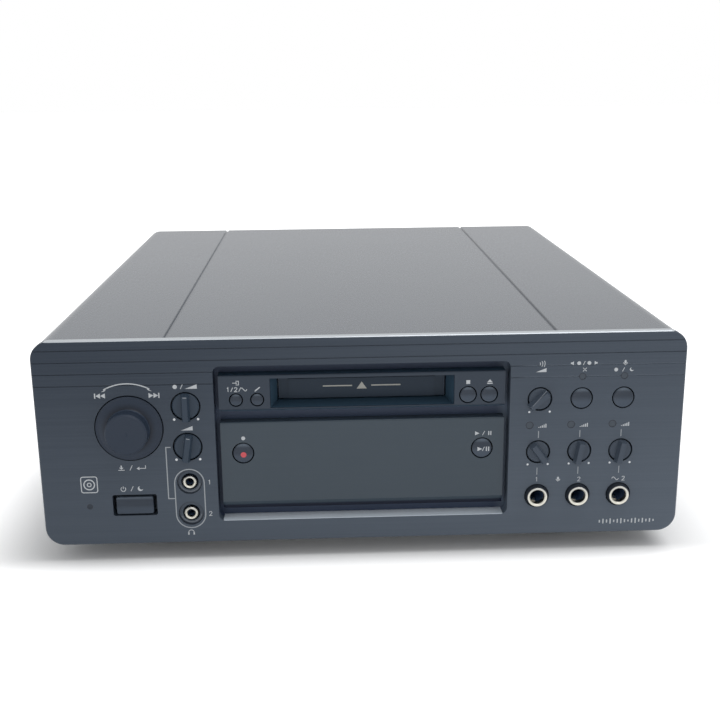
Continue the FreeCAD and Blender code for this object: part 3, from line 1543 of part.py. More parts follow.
holder = body("cartridge_holder")
lip_end = holder_outer_half - size.holder_lip
slab(holder, [
    (-holder_outer_half, size.holder_low),
    (-lip_end, size.holder_low),
    (-lip_end, holder_inner_low),
    (-holder_inner_half, holder_inner_low),
    (-holder_inner_half, holder_inner_high),
    (holder_inner_half, holder_inner_high),
    (holder_inner_half, holder_inner_low),
    (lip_end, holder_inner_low),
    (lip_end, size.holder_low),
    (holder_outer_half, size.holder_low),
    (holder_outer_half, holder_outer_high),
    (-holder_outer_half, holder_outer_high),
], size.holder_front, size.holder_front + size.holder_deep)
slab(holder, rectangle(-size.holder_stop_half, size.holder_stop_half, holder_inner_low, holder_inner_high),
     holder_rear - size.holder_wall, holder_rear)
for side in (-1, 1):
    start = holder_outer_half if side == 1 else -side_outer - size.clear_gap
    guide_pins = sketch_on(holder, "YZ", start)
    for back in pin_backs:
        add_circle(guide_pins, back, pin_high, size.holder_pin_radius)
    pad(holder, guide_pins, side_outer + size.clear_gap - holder_outer_half)
node(holder, "cartridge_holder")

can_top = size.deck_plate_high
can_low = can_top - size.spindle_can_tall
shaft_low = can_low + size.spindle_can_wall
seat_low = size.spindle_seat_high - size.spindle_seat_thick
spindle = turned("spindle", [
    (0, shaft_low + size.clear_gap),
    (size.spindle_shaft_radius, shaft_low + size.clear_gap),
    (size.spindle_shaft_radius, seat_low),
    (size.spindle_seat_radius, seat_low),
    (size.spindle_seat_radius, size.spindle_seat_high),
    (size.spindle_nose_radius, size.spindle_seat_high),
    (size.spindle_nose_tip, size.spindle_seat_high + size.spindle_nose_tall),
    (0, size.spindle_seat_high + size.spindle_nose_tall),
], axis="z")
node(spindle, "spindle", (0, size.spindle_back, 0))

spindle_can = turned("spindle_motor", [
    (0, can_low),
    (size.spindle_can_radius - size.spindle_can_wall, can_low),
    (size.spindle_can_radius, can_low + size.spindle_can_wall),
    (size.spindle_can_radius, can_top),
    (size.spindle_shaft_radius + size.running_gap, can_top),
    (size.spindle_shaft_radius + size.running_gap, shaft_low),
    (0, shaft_low),
], axis="z")
node(spindle_can, "spindle_motor", (0, size.spindle_back, 0))

sled = body("pickup_sled")
sled_base = sketch_on(sled, "XY", sled_low)
sled_front = rod_backs[0] - size.sled_front_reach
sled_rear = rod_backs[1] + size.sled_rear_reach
add_outline(sled_base, rectangle(-sled_half, sled_half, sled_front, sled_rear, size.sled_round))
pad(sled, sled_base, size.sled_thick)
nut_arm = sketch_on(sled, "XY", sled_low)
add_outline(nut_arm, rectangle(-size.nut_half, size.nut_half, sled_rear - size.sled_round,
                               lead_back + size.nut_half))
pad(sled, nut_arm, size.sled_thick)
lens_offset = size.lens_across - size.sled_across
turret = sketch_on(sled, "XY", sled_low + size.sled_thick)
add_circle(turret, lens_offset, size.spindle_back, size.turret_radius)
pad(sled, turret, size.lens_top - size.lens_proud - sled_low - size.sled_thick)
lens = sketch_on(sled, "XY", size.lens_top - size.lens_proud)
add_circle(lens, lens_offset, size.spindle_back, size.lens_radius)
pad(sled, lens, size.lens_proud)
sled_bores = sketch_on(sled, "YZ", sled_half)
for back in rod_backs:
    add_circle(sled_bores, back, size.rod_high, size.rod_radius + size.running_gap)
add_circle(sled_bores, lead_back, size.rod_high, size.lead_radius + size.running_gap)
pocket(sled, sled_bores, size.sled_wide)
node(sled, "pickup_sled", (size.sled_across, 0, 0))

rod_long = outer_tab + size.tab_wall - inner_tab
rods = []
for back in rod_backs:
    rods.append(rod("guide_rod", "x", (inner_tab, back, size.rod_high), rod_long, size.rod_radius))
node(group("guide_rods", rods), "guide_rods")

screw_start = inner_tab - size.lead_in_motor
lead = rod("lead_screw", "x", (0, 0, 0), outer_tab + size.tab_wall - screw_start, size.lead_radius)
node(lead, "lead_screw", (screw_start, lead_back, size.rod_high), *turns["x"])

motor_radius = size.deck_plate_high - size.rod_high - size.clear_gap
motor_case = rod("motor_case", "x", (inner_tab - size.sled_motor_long, lead_back, size.rod_high),
                 size.sled_motor_long, motor_radius)
motor_bore = rod("motor_bore", "x", (screw_start - size.clear_gap, lead_back, size.rod_high),
                 size.lead_in_motor + size.clear_gap, size.lead_radius + size.running_gap)
node(cut("sled_motor", motor_case, motor_bore), "sled_motor")


# ---------------------------------------------------------------- checks and files

def write_nodes():
    """Checks every object and writes each sub-part to its own file."""
    doc.recompute()
    failed = [o.Name for o in doc.Objects if {"Invalid", "Error"} & set(o.State)]
    if failed:
        raise RuntimeError(f"these objects did not build: {failed}")
    for feature in cuts:
        base = feature.Base if feature.TypeId == "Part::Cut" else feature.BaseFeature
        if feature.Shape.Volume > base.Shape.Volume - 1e-6:
            raise RuntimeError(f"{feature.Name} cuts nothing")
    os.makedirs("parts", exist_ok=True)
    for name, thing in nodes:
        shape = thing.Shape
        if shape.isNull() or not shape.isValid() or not shape.Solids:
            raise RuntimeError(f"{name} has no valid solid")
        shape.exportStep(f"parts/{name}.step")
        print(name, len(shape.Solids), round(shape.Volume))


write_nodes()
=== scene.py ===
import math

import bmesh
import bpy
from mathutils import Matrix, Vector


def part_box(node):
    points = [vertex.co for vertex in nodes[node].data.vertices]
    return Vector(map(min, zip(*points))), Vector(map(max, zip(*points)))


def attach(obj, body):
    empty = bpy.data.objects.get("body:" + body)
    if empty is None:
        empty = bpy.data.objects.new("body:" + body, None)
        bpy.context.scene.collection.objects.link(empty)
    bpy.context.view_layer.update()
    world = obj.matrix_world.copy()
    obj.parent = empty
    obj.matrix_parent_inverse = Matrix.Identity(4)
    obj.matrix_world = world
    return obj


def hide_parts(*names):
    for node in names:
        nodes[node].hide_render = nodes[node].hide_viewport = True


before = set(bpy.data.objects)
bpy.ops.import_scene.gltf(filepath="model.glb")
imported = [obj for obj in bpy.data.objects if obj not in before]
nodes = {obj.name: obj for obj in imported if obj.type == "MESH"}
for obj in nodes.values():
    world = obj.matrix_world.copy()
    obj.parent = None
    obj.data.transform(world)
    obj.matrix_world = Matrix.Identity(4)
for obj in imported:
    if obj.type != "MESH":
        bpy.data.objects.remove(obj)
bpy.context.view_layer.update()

mm = 0.001
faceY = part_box("front_panel")[0].y      # front of the fascia
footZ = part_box("front_panel")[0].z      # lower edge of the fascia
print("frame loaded:", len(nodes), "nodes")


# The camera stands a little left of the middle and looks down at the fascia.
cameraView = {
    "place": (-0.016238, -0.595412, 0.207438),
    "turn": (74.84267878898831, 0.5633692569089058, -2.1747952910216006),
    "lens": 52.697,
    "sensor": 36.0,
}

eye = bpy.data.cameras.new("front_camera")
eye.lens = cameraView["lens"]
eye.sensor_width = cameraView["sensor"]
eye.clip_start = 0.01
eye.clip_end = 60
camera = bpy.data.objects.new("front_camera", eye)
camera.location = cameraView["place"]
camera.rotation_euler = [math.radians(angle) for angle in cameraView["turn"]]
bpy.context.scene.collection.objects.link(camera)
bpy.context.scene.camera = camera


# One value travelling through a tree's nodes, so that shader sums read as plain maths.
class Signal:
    def __init__(self, tree, socket):
        self.tree = tree
        self.socket = socket

    def maths(self, operation, *values):
        return self.tree.node("ShaderNodeMath", {"operation": operation}, dict(enumerate(values)))

    def __add__(self, other):
        return self.maths("ADD", self, other)

    def __radd__(self, other):
        return self.maths("ADD", other, self)

    def __sub__(self, other):
        return self.maths("SUBTRACT", self, other)

    def __rsub__(self, other):
        return self.maths("SUBTRACT", other, self)

    def __mul__(self, other):
        return self.maths("MULTIPLY", self, other)

    def __rmul__(self, other):
        return self.maths("MULTIPLY", other, self)

    def __truediv__(self, other):
        return self.maths("DIVIDE", self, other)

    def __lt__(self, other):
        return self.maths("LESS_THAN", self, other)

    def __gt__(self, other):
        return self.maths("GREATER_THAN", self, other)

    def __abs__(self):
        return self.maths("ABSOLUTE", self)

    def root(self):
        return self.maths("SQRT", self)

    def between(self, low, high):      # 0 at low, 1 at high, smooth on the way
        return self.tree.node("ShaderNodeMapRange", {"interpolation_type": "SMOOTHSTEP"},
                              {"Value": self, "From Min": low, "From Max": high})


# A node tree under construction. Every node that is added to it comes from one method.
class NodeTree:
    def __init__(self, tree):
        self.tree = tree

    def node(self, kind, settings=None, values=None, output=0):
        made = self.tree.nodes.new(kind)
        for setting, value in (settings or {}).items():
            setattr(made, setting, value)
        for socket, value in (values or {}).items():
            self.feed(made.inputs[socket], value)
        return Signal(self, made.outputs[output])

    def feed(self, socket, value):
        if isinstance(value, Signal):
            self.tree.links.new(value.socket, socket)
        else:
            socket.default_value = value

    def rayShare(self):      # 1 for rays that show the stage itself, 0 for the rays that light it
        share = self.node("ShaderNodeLightPath", output="Is Camera Ray")
        for kind in ("Is Glossy Ray", "Is Transmission Ray"):
            share = share.maths("MAXIMUM", share, self.node("ShaderNodeLightPath", output=kind))
        return share


# A material: its Principled shader and the nodes that feed it.
class Finish(NodeTree):
    def __init__(self, name, colour, roughness, **fixed):
        self.material = bpy.data.materials.new(name)
        self.material.use_nodes = True
        super().__init__(self.material.node_tree)
        self.shader = self.tree.nodes["Principled BSDF"]
        self.roughness = roughness
        self.colour = colour
        self.shader.inputs["Base Color"].default_value = (*colour, 1)
        self.shader.inputs["Roughness"].default_value = roughness
        for socket, value in fixed.items():
            self.shader.inputs[socket.replace("_", " ")].default_value = value
        self.material.diffuse_color = (*colour, 1)

    def into(self, socket, value):
        self.feed(self.shader.inputs[socket], value)

    def place(self, axis=None):      # the rest place on the object, in metres
        spot = self.node("ShaderNodeTexCoord", output="Object")
        if axis is None:
            return spot
        return self.node("ShaderNodeSeparateXYZ", values={0: spot}, output=axis)

    def grain(self, size, detail=2.0, stretch=(1, 1, 1), seed=0.0):     # size of a feature in mm
        spot = self.node("ShaderNodeMapping", values={
            "Vector": self.place(), "Scale": stretch, "Location": (seed, seed, seed)})
        return self.node("ShaderNodeTexNoise", values={
            "Vector": spot, "Scale": 1 / (size * mm), "Detail": detail})

    def mix(self, amount, *colours):     # a colour is three numbers or what another node gives
        first, second = (one if isinstance(one, Signal) else (*one, 1) for one in colours)
        return self.node("ShaderNodeMix", {"data_type": "RGBA"}, {
            "Factor": amount, 6: first, 7: second}, output=2)

    def tint(self, amount, other):      # from the base colour towards another as amount rises
        colour = self.mix(amount, self.colour, other)
        self.into("Base Color", colour)
        return colour

    # One texture gives the surface its uneven roughness and, unless another does, its relief of deep mm.
    def uneven(self, texture, deep, less=0.06, more=0.14, strength=0.5, change=0.0, relief=None):
        self.into("Roughness", self.roughness + change - less + more * texture)
        self.into("Normal", self.node("ShaderNodeBump", values={
            "Height": texture if relief is None else relief, "Distance": deep * mm, "Strength": strength}))

    def ringOf(self, across, high):      # distance in metres from a front-to-back axis that is given in mm
        spot = self.node("ShaderNodeVectorMath", {"operation": "SUBTRACT"},
                         {0: self.place(), 1: (across * mm, 0, footZ + high * mm)})
        flat = self.node("ShaderNodeVectorMath", {"operation": "MULTIPLY"}, {0: spot, 1: (1, 0, 1)})
        return self.node("ShaderNodeVectorMath", {"operation": "LENGTH"}, {0: flat}, output="Value")


fasciaLook = {
    "colour": (0.098, 0.123, 0.158), "dark": (0.022, 0.034, 0.054), "roughness": 0.38, "gloss": 0.28,
    "lines": {"size": 0.16, "detail": 3.0, "stretch": (0.004, 1, 1)},
    "streaks": {"size": 0.75, "detail": 3.0, "stretch": (0.012, 1, 1), "seed": 7.7},
    "clouds": {"size": 60.0, "stretch": (0.5, 1, 1), "seed": 3.1},
    "lineShare": 0.10, "streakShare": 0.12, "cloudShare": 0.14,      # how far each one darkens the dye
    "streakRange": (0.15, 0.85), "surface": {"deep": 0.012, "less": 0.08, "more": 0.16, "strength": 0.6},
    "leftShare": 0.55, "topShare": 0.52, "lift": 0.21,
    "across": (0.2, -0.2), "upward": (0.0, 0.11),      # where the painted shade darkens it to the left and upwards, m
    "edge": (0.44, 0.47, 0.50), "edgeTall": 0.3,
    "faint": {"colour": (0.135, 0.165, 0.208), "deep": 0.08,      # mm
              "from": 65.0, "to": 74.0, "low": 71.9, "high": 79.5},
}


# Brushed and dyed aluminium: streaks run along it, and its upper edge is left bright.
def brushedFascia():
    look = fasciaLook
    finish = Finish("fascia_black", look["colour"], look["roughness"], Specular_IOR_Level=look["gloss"])
    x, y, z = (finish.place(axis) for axis in "XYZ")
    lines = finish.grain(**look["lines"])
    streak = finish.grain(**look["streaks"]).between(*look["streakRange"])
    cloud = finish.grain(**look["clouds"])
    brushing = look["lineShare"] * lines + look["streakShare"] * streak + look["cloudShare"] * cloud
    # painted shade: the fascia is darker to the left and upwards
    fade = look["leftShare"] * x.between(*look["across"]) + look["topShare"] * z.between(*look["upward"])
    brushedAndPaintedShading = finish.mix(brushing + fade - look["lift"], finish.colour, look["dark"])
    faint = look["faint"]      # painted light: the floors of the two lower rulings right of the window are painted lighter against their shade
    ruled = (z > footZ + faint["low"] * mm) * (z < footZ + faint["high"] * mm)
    ruled = ruled * (y > faceY + faint["deep"] * mm) * x.between(faint["from"] * mm, faint["to"] * mm)
    brushedAndPaintedShading = finish.mix(ruled, brushedAndPaintedShading, faint["colour"])
    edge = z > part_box("front_panel")[1].z - look["edgeTall"] * mm
    finish.into("Base Color", finish.mix(edge, brushedAndPaintedShading, look["edge"]))
    finish.into("Metallic", edge)
    finish.uneven(lines, **look["surface"])
    return finish.material


coverLook = {
    "colour": (0.036, 0.049, 0.070), "worn": (0.070, 0.088, 0.108), "roughness": 0.26,
    "speck": {"size": 0.4}, "cloud": {"size": 45.0, "detail": 3.0, "seed": 1.7},
    "speckShare": 0.3, "cloudShare": 0.4, "lift": 0.12,
    "surface": {"deep": 0.012, "more": 0.12, "strength": 0.35},
}


# Satin coat with a fine speck, a little worn in wide clouds.
def powderCoat():
    look = coverLook
    finish = Finish("cover_black", look["colour"], look["roughness"])
    speck, cloud = finish.grain(**look["speck"]), finish.grain(**look["cloud"])
    finish.tint(look["speckShare"] * speck + look["cloudShare"] * cloud - look["lift"], look["worn"])
    finish.uneven(speck, **look["surface"])
    return finish.material


plasticLook = {
    "cloud": {"size": 18.0, "seed": 5.3}, "speckShare": 0.35, "cloudShare": 0.3, "lift": 0.12,
    "lighter": 1.5, "least": 0.004,      # a worn spot's colour is so many times the plain one
}


# Plastic with a fine grain and faint clouds. Some pieces take painted light: a lighter colour towards the
# right.
def mouldedPlastic(name, colour, roughness, grain=0.35, deep=0.012, right=None, spread=(-0.1, 0.1), **fixed):
    look = plasticLook
    finish = Finish(name, colour, roughness, **fixed)
    speck, cloud = finish.grain(grain), finish.grain(**look["cloud"])
    lighter = tuple(look["lighter"] * part + look["least"] for part in colour)
    shade = finish.tint(look["speckShare"] * speck + look["cloudShare"] * cloud - look["lift"], lighter)
    if right:
        # painted light: lighter towards the right
        finish.into("Base Color", finish.mix(finish.place("X").between(*spread), shade, right))
    finish.uneven(speck, deep)
    return finish.material


# 'upper' is the colour of painted shade on a key's upper face, 'lip' that of a painted highlight on its top
# lip.
keyLook = {
    "colour": (0.064, 0.086, 0.120), "upper": (0.020, 0.031, 0.050), "lip": (0.100, 0.128, 0.166),
    "left": 0.35, "side": (0.1, -0.1),      # how much painted shade darkens it to the left, and from where, m
    "roughness": 0.38, "gloss": 0.35, "speck": 0.3, "speckShare": 0.15, "deep": 0.8, "grain": 0.02,
    "upperRange": (-0.55, 0.35), "lipRange": (0.55, 0.95),      # where the painted shade and the painted highlight lie, up the face, in radii
    "round": {      # across, high and radius, mm
        "center_cancel_button": (95.0, 63.1, 4.4), "mic_standby_button": (113.2, 63.1, 4.4),
        "input_selector_button": (-54.4, 65.0, 2.5), "edit_button": (-45.3, 65.0, 2.5),
        "stop_button": (45.7, 65.3, 3.35), "eject_button": (54.9, 65.3, 3.35),
        "rec_button": (-52.25, 40.6, 4.3), "play_pause_button": (52.25, 40.6, 4.3),
    },
    "power": (18.3, 4.2),      # high and half as tall, mm
}


# A key's face is hollowed: a round one like a dish, the power key like a trough.
def hollowKey(node):
    look = keyLook
    finish = Finish(node + "_black", look["colour"], look["roughness"], Specular_IOR_Level=look["gloss"])
    across, high, radius = look["round"].get(node, (None, *look["power"]))
    up = (finish.place("Z") - (footZ + high * mm)) / (radius * mm)
    reach = abs(up) if across is None else finish.ringOf(across, high) / (radius * mm)
    speck = finish.grain(look["speck"])
    # painted shade over the upper face and to the left, and a painted highlight on the top lip
    shade = up.between(*look["upperRange"]) + look["left"] * finish.place("X").between(*look["side"])
    paintedShadeFace = finish.tint(shade + look["speckShare"] * speck, look["upper"])
    finish.into("Base Color", finish.mix(up.between(*look["lipRange"]), paintedShadeFace, look["lip"]))
    finish.uneven(speck, look["deep"], strength=1.0, relief=reach * reach + look["grain"] * speck)
    return finish.material


metalLook = {
    "bloom": {"size": 9.0, "detail": 3.0, "seed": 2.2}, "lineShare": 0.45, "bloomShare": 0.45, "lift": 0.2,
    "darker": 0.62, "surface": {"deep": 0.01, "less": 0.08, "more": 0.2, "strength": 0.4},
}


# Metal with fine lines along it and a cloudy bloom.
def platedSteel(name, colour, roughness, line=0.3, stretch=(0.05, 1, 1)):
    look = metalLook
    finish = Finish(name, colour, roughness, Metallic=1.0)
    lines, bloom = finish.grain(line, stretch=stretch), finish.grain(**look["bloom"])
    shade = look["lineShare"] * lines + look["bloomShare"] * bloom - look["lift"]
    finish.tint(shade, tuple(look["darker"] * part for part in colour))
    finish.uneven(bloom, **look["surface"], relief=lines)
    return finish.material


# The sleeve's 'rubbed' grey is real rub and, towards its top, painted shade; the 'bore' colour is painted
# light.
jackLook = {
    "nickel": (0.68, 0.66, 0.58), "rubbed": (0.34, 0.35, 0.35), "shine": 0.3,
    "collar": (0.010, 0.015, 0.024), "bore": (0.060, 0.105, 0.200), "dull": 0.45,
    "large": (4.36, 3.3), "small": (2.95, 2.6),      # radius and depth of the sleeve, mm
    "rub": {"size": 0.5, "seed": 4.0}, "rubShare": 0.35, "upShare": 0.45, "upRange": (-0.4, 1.0),
    "surface": {"deep": 0.006, "less": 0.0, "more": 0.1},
    "spots": {"mic_1_jack": (76.8, 18.3), "mic_2_jack": (95.0, 18.3), "line_2_jack": (113.2, 18.3),
              "phones_1_jack": (-75.9, 28.2), "phones_2_jack": (-75.9, 13.8)},
}


# A nickel sleeve in front, with its collar and the case behind it in plastic.
def jackFinish(node):
    look = jackLook
    radius, deep = look["small" if node.startswith("phones") else "large"]
    across, high = look["spots"][node]
    finish = Finish(node + "_nickel", look["collar"], look["dull"])
    front = finish.place("Y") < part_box(node)[0].y + deep * mm
    ring = front * (finish.ringOf(across, high) < radius * mm)
    rub = finish.grain(**look["rub"])
    up = (finish.place("Z") - (footZ + high * mm)) / (radius * mm)
    # painted shade: the sleeve turns to the rubbed grey towards its top, besides the random rub
    shade = look["rubShare"] * rub + look["upShare"] * up.between(*look["upRange"])
    nickel = finish.mix(shade, look["nickel"], look["rubbed"])
    # painted light: the deep bore is lighter and bluer than the collar
    plastic = finish.mix(front, look["bore"], finish.colour)
    finish.into("Base Color", finish.mix(ring, plastic, nickel))
    finish.into("Metallic", ring)
    finish.uneven(rub, **look["surface"], change=(look["shine"] - look["dull"]) * ring)
    return finish.material


lineSocketLook = {
    "colour": (0.018, 0.018, 0.020), "rubbed": (0.035, 0.035, 0.037), "roughness": 0.45,
    "middle": (0.069, 0.042), "apart": (0.009, 0.008),      # middle of the four barrels, half their pitch, m
    "shell": 4.3, "insulator": 3.3, "pin": 1.75, "proud": 7.0,      # radii and reach of a barrel, mm
    "metal": (0.80, 0.76, 0.66), "dulled": (0.5, 0.46, 0.38), "shine": -0.16,
    "red": (0.42, 0.02, 0.02), "white": (0.72, 0.71, 0.68),
    "rub": {"size": 0.6}, "plasticShare": 0.3, "metalShare": 0.4,
    "surface": {"deep": 0.01, "less": 0.03, "more": 0.1},
}


# Four barrels in a black shell: a plated ring, and a white or red insulator round the bore.
def lineSocketFinish():
    look = lineSocketLook
    finish = Finish("line_socket_black", look["colour"], look["roughness"])
    across = finish.place("X")
    fromColumn = abs(abs(across - look["middle"][0]) - look["apart"][0])
    fromRow = abs(abs(finish.place("Z") - look["middle"][1]) - look["apart"][1])
    reach = (fromColumn * fromColumn + fromRow * fromRow).root()
    proud = finish.place("Y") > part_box("line_sockets")[1].y - look["proud"] * mm
    shell = (reach < look["shell"] * mm) * proud
    ring = shell * (reach > look["insulator"] * mm)
    core = shell * (reach < look["insulator"] * mm) * (reach > look["pin"] * mm)
    rub = finish.grain(**look["rub"])
    colour = finish.mix(look["plasticShare"] * rub, finish.colour, look["rubbed"])
    metal = finish.mix(look["metalShare"] * rub, look["metal"], look["dulled"])
    ink = finish.mix(across > look["middle"][0], look["white"], look["red"])
    colour = finish.mix(ring, colour, metal)
    finish.into("Base Color", finish.mix(core, colour, ink))
    finish.into("Metallic", ring)
    finish.uneven(rub, **look["surface"], change=look["shine"] * ring)
    return finish.material


inletLook = {
    "colour": (0.016, 0.016, 0.018), "rubbed": (0.035, 0.035, 0.037), "roughness": 0.5,
    "middle": (-0.104, 0.036), "apart": 0.0043,      # the two pins and half their pitch, m
    "pin": 1.35, "brass": (0.78, 0.70, 0.48), "shine": -0.2, "speck": {"size": 0.4}, "speckShare": 0.4,
    "surface": {"deep": 0.02, "less": 0.02, "more": 0.1},
}


# Two brass pins in a black shell.
def inletFinish():
    look = inletLook
    finish = Finish("inlet_black", look["colour"], look["roughness"])
    fromPin = abs(abs(finish.place("X") - look["middle"][0]) - look["apart"])
    fromRow = finish.place("Z") - look["middle"][1]
    pin = (fromPin * fromPin + fromRow * fromRow).root() < look["pin"] * mm
    speck = finish.grain(**look["speck"])
    colour = finish.mix(look["speckShare"] * speck, finish.colour, look["rubbed"])
    finish.into("Base Color", finish.mix(pin, colour, look["brass"]))
    finish.into("Metallic", pin)
    finish.uneven(speck, **look["surface"], change=look["shine"] * pin)
    return finish.material


slotLook = {"colour": (0.026, 0.040, 0.062), "inside": (0.030, 0.064, 0.100), "roughness": 0.42,
            "gloss": 0.35, "duller": 0.1, "lip": 0.5, "speck": {"size": 0.35}, "speckShare": 0.3,
            "darker": 0.6, "surface": {"deep": 0.012, "more": 0.12}}


# The slot bar's face is satin, and its funnel and throat are duller inside and bluer and lighter by painted
# light.
def slotBarFinish():
    look = slotLook
    finish = Finish("slot_bar_black", look["colour"], look["roughness"], Specular_IOR_Level=look["gloss"])
    face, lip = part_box("slot_bar")[0].y, look["lip"] * mm
    inside = finish.place("Y").between(face + lip, face + 2 * lip)
    speck = finish.grain(**look["speck"])
    darker = tuple(look["darker"] * part for part in look["colour"])
    satin = finish.mix(look["speckShare"] * speck, finish.colour, darker)
    # painted light: a lighter, bluer colour inside the funnel and throat
    finish.into("Base Color", finish.mix(inside, satin, look["inside"]))
    finish.uneven(speck, **look["surface"], change=look["duller"] * inside)
    return finish.material


dialLook = {
    "middle": (-100.5, 53.7), "colour": (0.025, 0.037, 0.060), "corner": (0.007, 0.010, 0.018),
    "rim": (0.036, 0.052, 0.080), "rough": 0.42, "gloss": 0.25, "polish": 0.3, "polishRough": 0.12,
    "nose": 9.0, "edge": 0.35, "foot": 0.3, "gap": 0.05, "flare": 12.2, "proud": 9.0,      # mm
    "speck": {"size": 0.25}, "speckShare": 0.15, "cornerShare": 0.8,
    "surface": {"deep": 0.006, "less": 0.05, "more": 0.1},
}


# Painted shade darkens the jog dial in the corner round its nose; its two turned edges have a polish and a
# painted highlight.
def dialFinish():
    look = dialLook
    finish = Finish("dial_black", look["colour"], look["rough"], Specular_IOR_Level=look["gloss"],
                    Coat_Roughness=look["polishRough"])
    reach = finish.ringOf(*look["middle"]) / mm
    speck = finish.grain(**look["speck"])
    past = reach > look["nose"] + look["gap"]
    # painted shade in the corner round the nose
    corner = past * reach.between(look["flare"], look["nose"])
    shade = finish.tint(look["speckShare"] * speck + look["cornerShare"] * corner, look["corner"])
    front = finish.place("Y") < faceY - (look["proud"] - look["edge"]) * mm
    turned = front * (reach > look["nose"] - look["edge"]) + past * (reach < look["nose"] + look["foot"])
    # painted highlight: the turned edges take the lighter rim colour, beside their real polish
    finish.into("Base Color", finish.mix(turned, shade, look["rim"]))
    finish.into("Coat Weight", look["polish"] * turned)
    finish.uneven(speck, **look["surface"])
    return finish.material


displayLook = {
    "colour": (0.038, 0.058, 0.079), "hazed": (0.052, 0.073, 0.094), "rough": 0.22, "gloss": 0.35,
    "rim": (0.004, 0.007, 0.022), "rimLow": 15.6, "rimHigh": 16.9,    # the painted shadow's colour and span, mm over the fascia's lower edge
    "cloud": {"size": 18.0, "seed": 5.3}, "scuff": {"size": 1.2, "stretch": (0.03, 1, 1), "seed": 2.6},
    "cloudShare": 0.45, "scuffShare": 0.25, "lift": 0.15,
    "surface": {"deep": 0.002, "less": 0.04, "more": 0.1, "strength": 0.4},
}


# Smoked acrylic, a little hazed, with a painted shadow across the bevel along its lower edge.
def displayFinish():
    look = displayLook
    finish = Finish("display_smoked", look["colour"], look["rough"], Specular_IOR_Level=look["gloss"])
    cloud, scuff = finish.grain(**look["cloud"]), finish.grain(**look["scuff"])
    haze = look["cloudShare"] * cloud + look["scuffShare"] * scuff - look["lift"]
    face = finish.tint(haze, look["hazed"])
    # painted shadow along the lower bevel, where the gap under the display lies in shade
    rim = finish.place("Z").between(footZ + look["rimHigh"] * mm, footZ + look["rimLow"] * mm)
    finish.into("Base Color", finish.mix(rim, face, look["rim"]))
    finish.uneven(scuff, **look["surface"])
    return finish.material


# Each row is a colour and a roughness, then what the finish takes beyond its usual values.
# A 'right' colour is painted light: the lamp lenses, the tub's right wall and the knobs grow lighter towards
# the right.
plasticLooks = {
    "moulded_black": ((0.018, 0.030, 0.046), 0.45, {"Specular_IOR_Level": 0.35}),
    "tube_glass": ((0.05, 0.07, 0.07), 0.08, {"grain": 8.0, "deep": 0.001}),
    "lamp_lens": ((0.020, 0.030, 0.045), 0.3, {
        "grain": 0.8, "deep": 0.004, "right": (0.058, 0.074, 0.096), "spread": (-0.1, 0.05),
        "Specular_IOR_Level": 0.3}),
    "rubber_black": ((0.016, 0.016, 0.017), 0.75, {"grain": 0.4, "deep": 0.03}),
    "circuit_board": ((0.03, 0.12, 0.05), 0.35, {"grain": 1.5, "deep": 0.03}),
    "slot_flap_black": ((0.018, 0.031, 0.050), 0.45, {"Specular_IOR_Level": 0.25}),
    "tub_black": ((0.033, 0.050, 0.092), 0.45, {
        "right": (0.115, 0.150, 0.205), "spread": (0.058, 0.064), "Specular_IOR_Level": 0.35}),
    "level_knob_black": ((0.031, 0.047, 0.070), 0.42, {
        "grain": 0.25, "deep": 0.006, "right": (0.062, 0.080, 0.108), "spread": (-0.09, 0.07),
        "Specular_IOR_Level": 0.25}),
}
metalLooks = {
    "plain_steel": ((0.60, 0.61, 0.62), 0.34, {}),
    "nickel": ((0.72, 0.68, 0.60), 0.22, {"line": 0.2, "stretch": (1, 1, 1)}),
    "copper_winding": ((0.62, 0.34, 0.14), 0.4, {"line": 0.4}),
    "core_steel": ((0.22, 0.22, 0.23), 0.5, {"line": 0.5, "stretch": (0.04, 1, 0.04)}),
    "screw_black": ((0.10, 0.10, 0.11), 0.4, {"stretch": (1, 1, 1)}),
}
looks = {"fascia_black": brushedFascia(), "cover_black": powderCoat()}
for maker, rows in ((mouldedPlastic, plasticLooks), (platedSteel, metalLooks)):
    for name, (colour, roughness, extra) in rows.items():
        looks[name] = maker(name, colour, roughness, **extra)
ownLooks = {
    "line_sockets": lineSocketFinish(), "mains_inlet": inletFinish(), "slot_bar": slotBarFinish(),
    "slot_flap": looks["slot_flap_black"], "display_window": displayFinish(), "jog_dial": dialFinish(),
    "window_tub": looks["tub_black"],
}
for name in nodes:
    if name.endswith("_jack"):
        ownLooks[name] = jackFinish(name)
    elif name.endswith("_button"):
        ownLooks[name] = hollowKey(name)
    elif name.endswith("_knob"):
        ownLooks[name] = looks["level_knob_black"]
for name, node in nodes.items():
    for slot in node.material_slots:
        slot.material = ownLooks.get(name) or looks[slot.material.name.split(".")[0]]
print("finishes done")


# Printed marks are thin closed plates in an upright plane, raised by the thickness of the ink.
inkLook = {
    "thick": 0.03, "sunk": 0.02, "wide": 0.3,      # mm
    "sharpest": 0.4,      # keeps the mitre short where a line turns sharply
    "roughness": 0.5, "wear": {"size": 0.6, "detail": 3.0}, "wearShare": 0.5, "lift": 0.05, "worn": 0.72,
    "surface": {"deep": 0.004, "less": 0.05, "more": 0.15},
    "colours": {"white": (0.84, 0.87, 0.90), "pale": (0.60, 0.63, 0.66), "line": (0.40, 0.43, 0.46),
                "dim": (0.16, 0.18, 0.21), "dark": (0.012, 0.018, 0.032), "red": (0.72, 0.10, 0.12),
                "mark": (0.50, 0.50, 0.46)},
}


def inkFinish(name, colour):
    look = inkLook
    finish = Finish(name, colour, look["roughness"])
    wear = finish.grain(**look["wear"])
    finish.tint(look["wearShare"] * wear - look["lift"], tuple(look["worn"] * part for part in colour))
    finish.uneven(wear, **look["surface"])
    return finish.material


inks = {name: inkFinish(name + "_ink", colour) for name, colour in inkLook["colours"].items()}


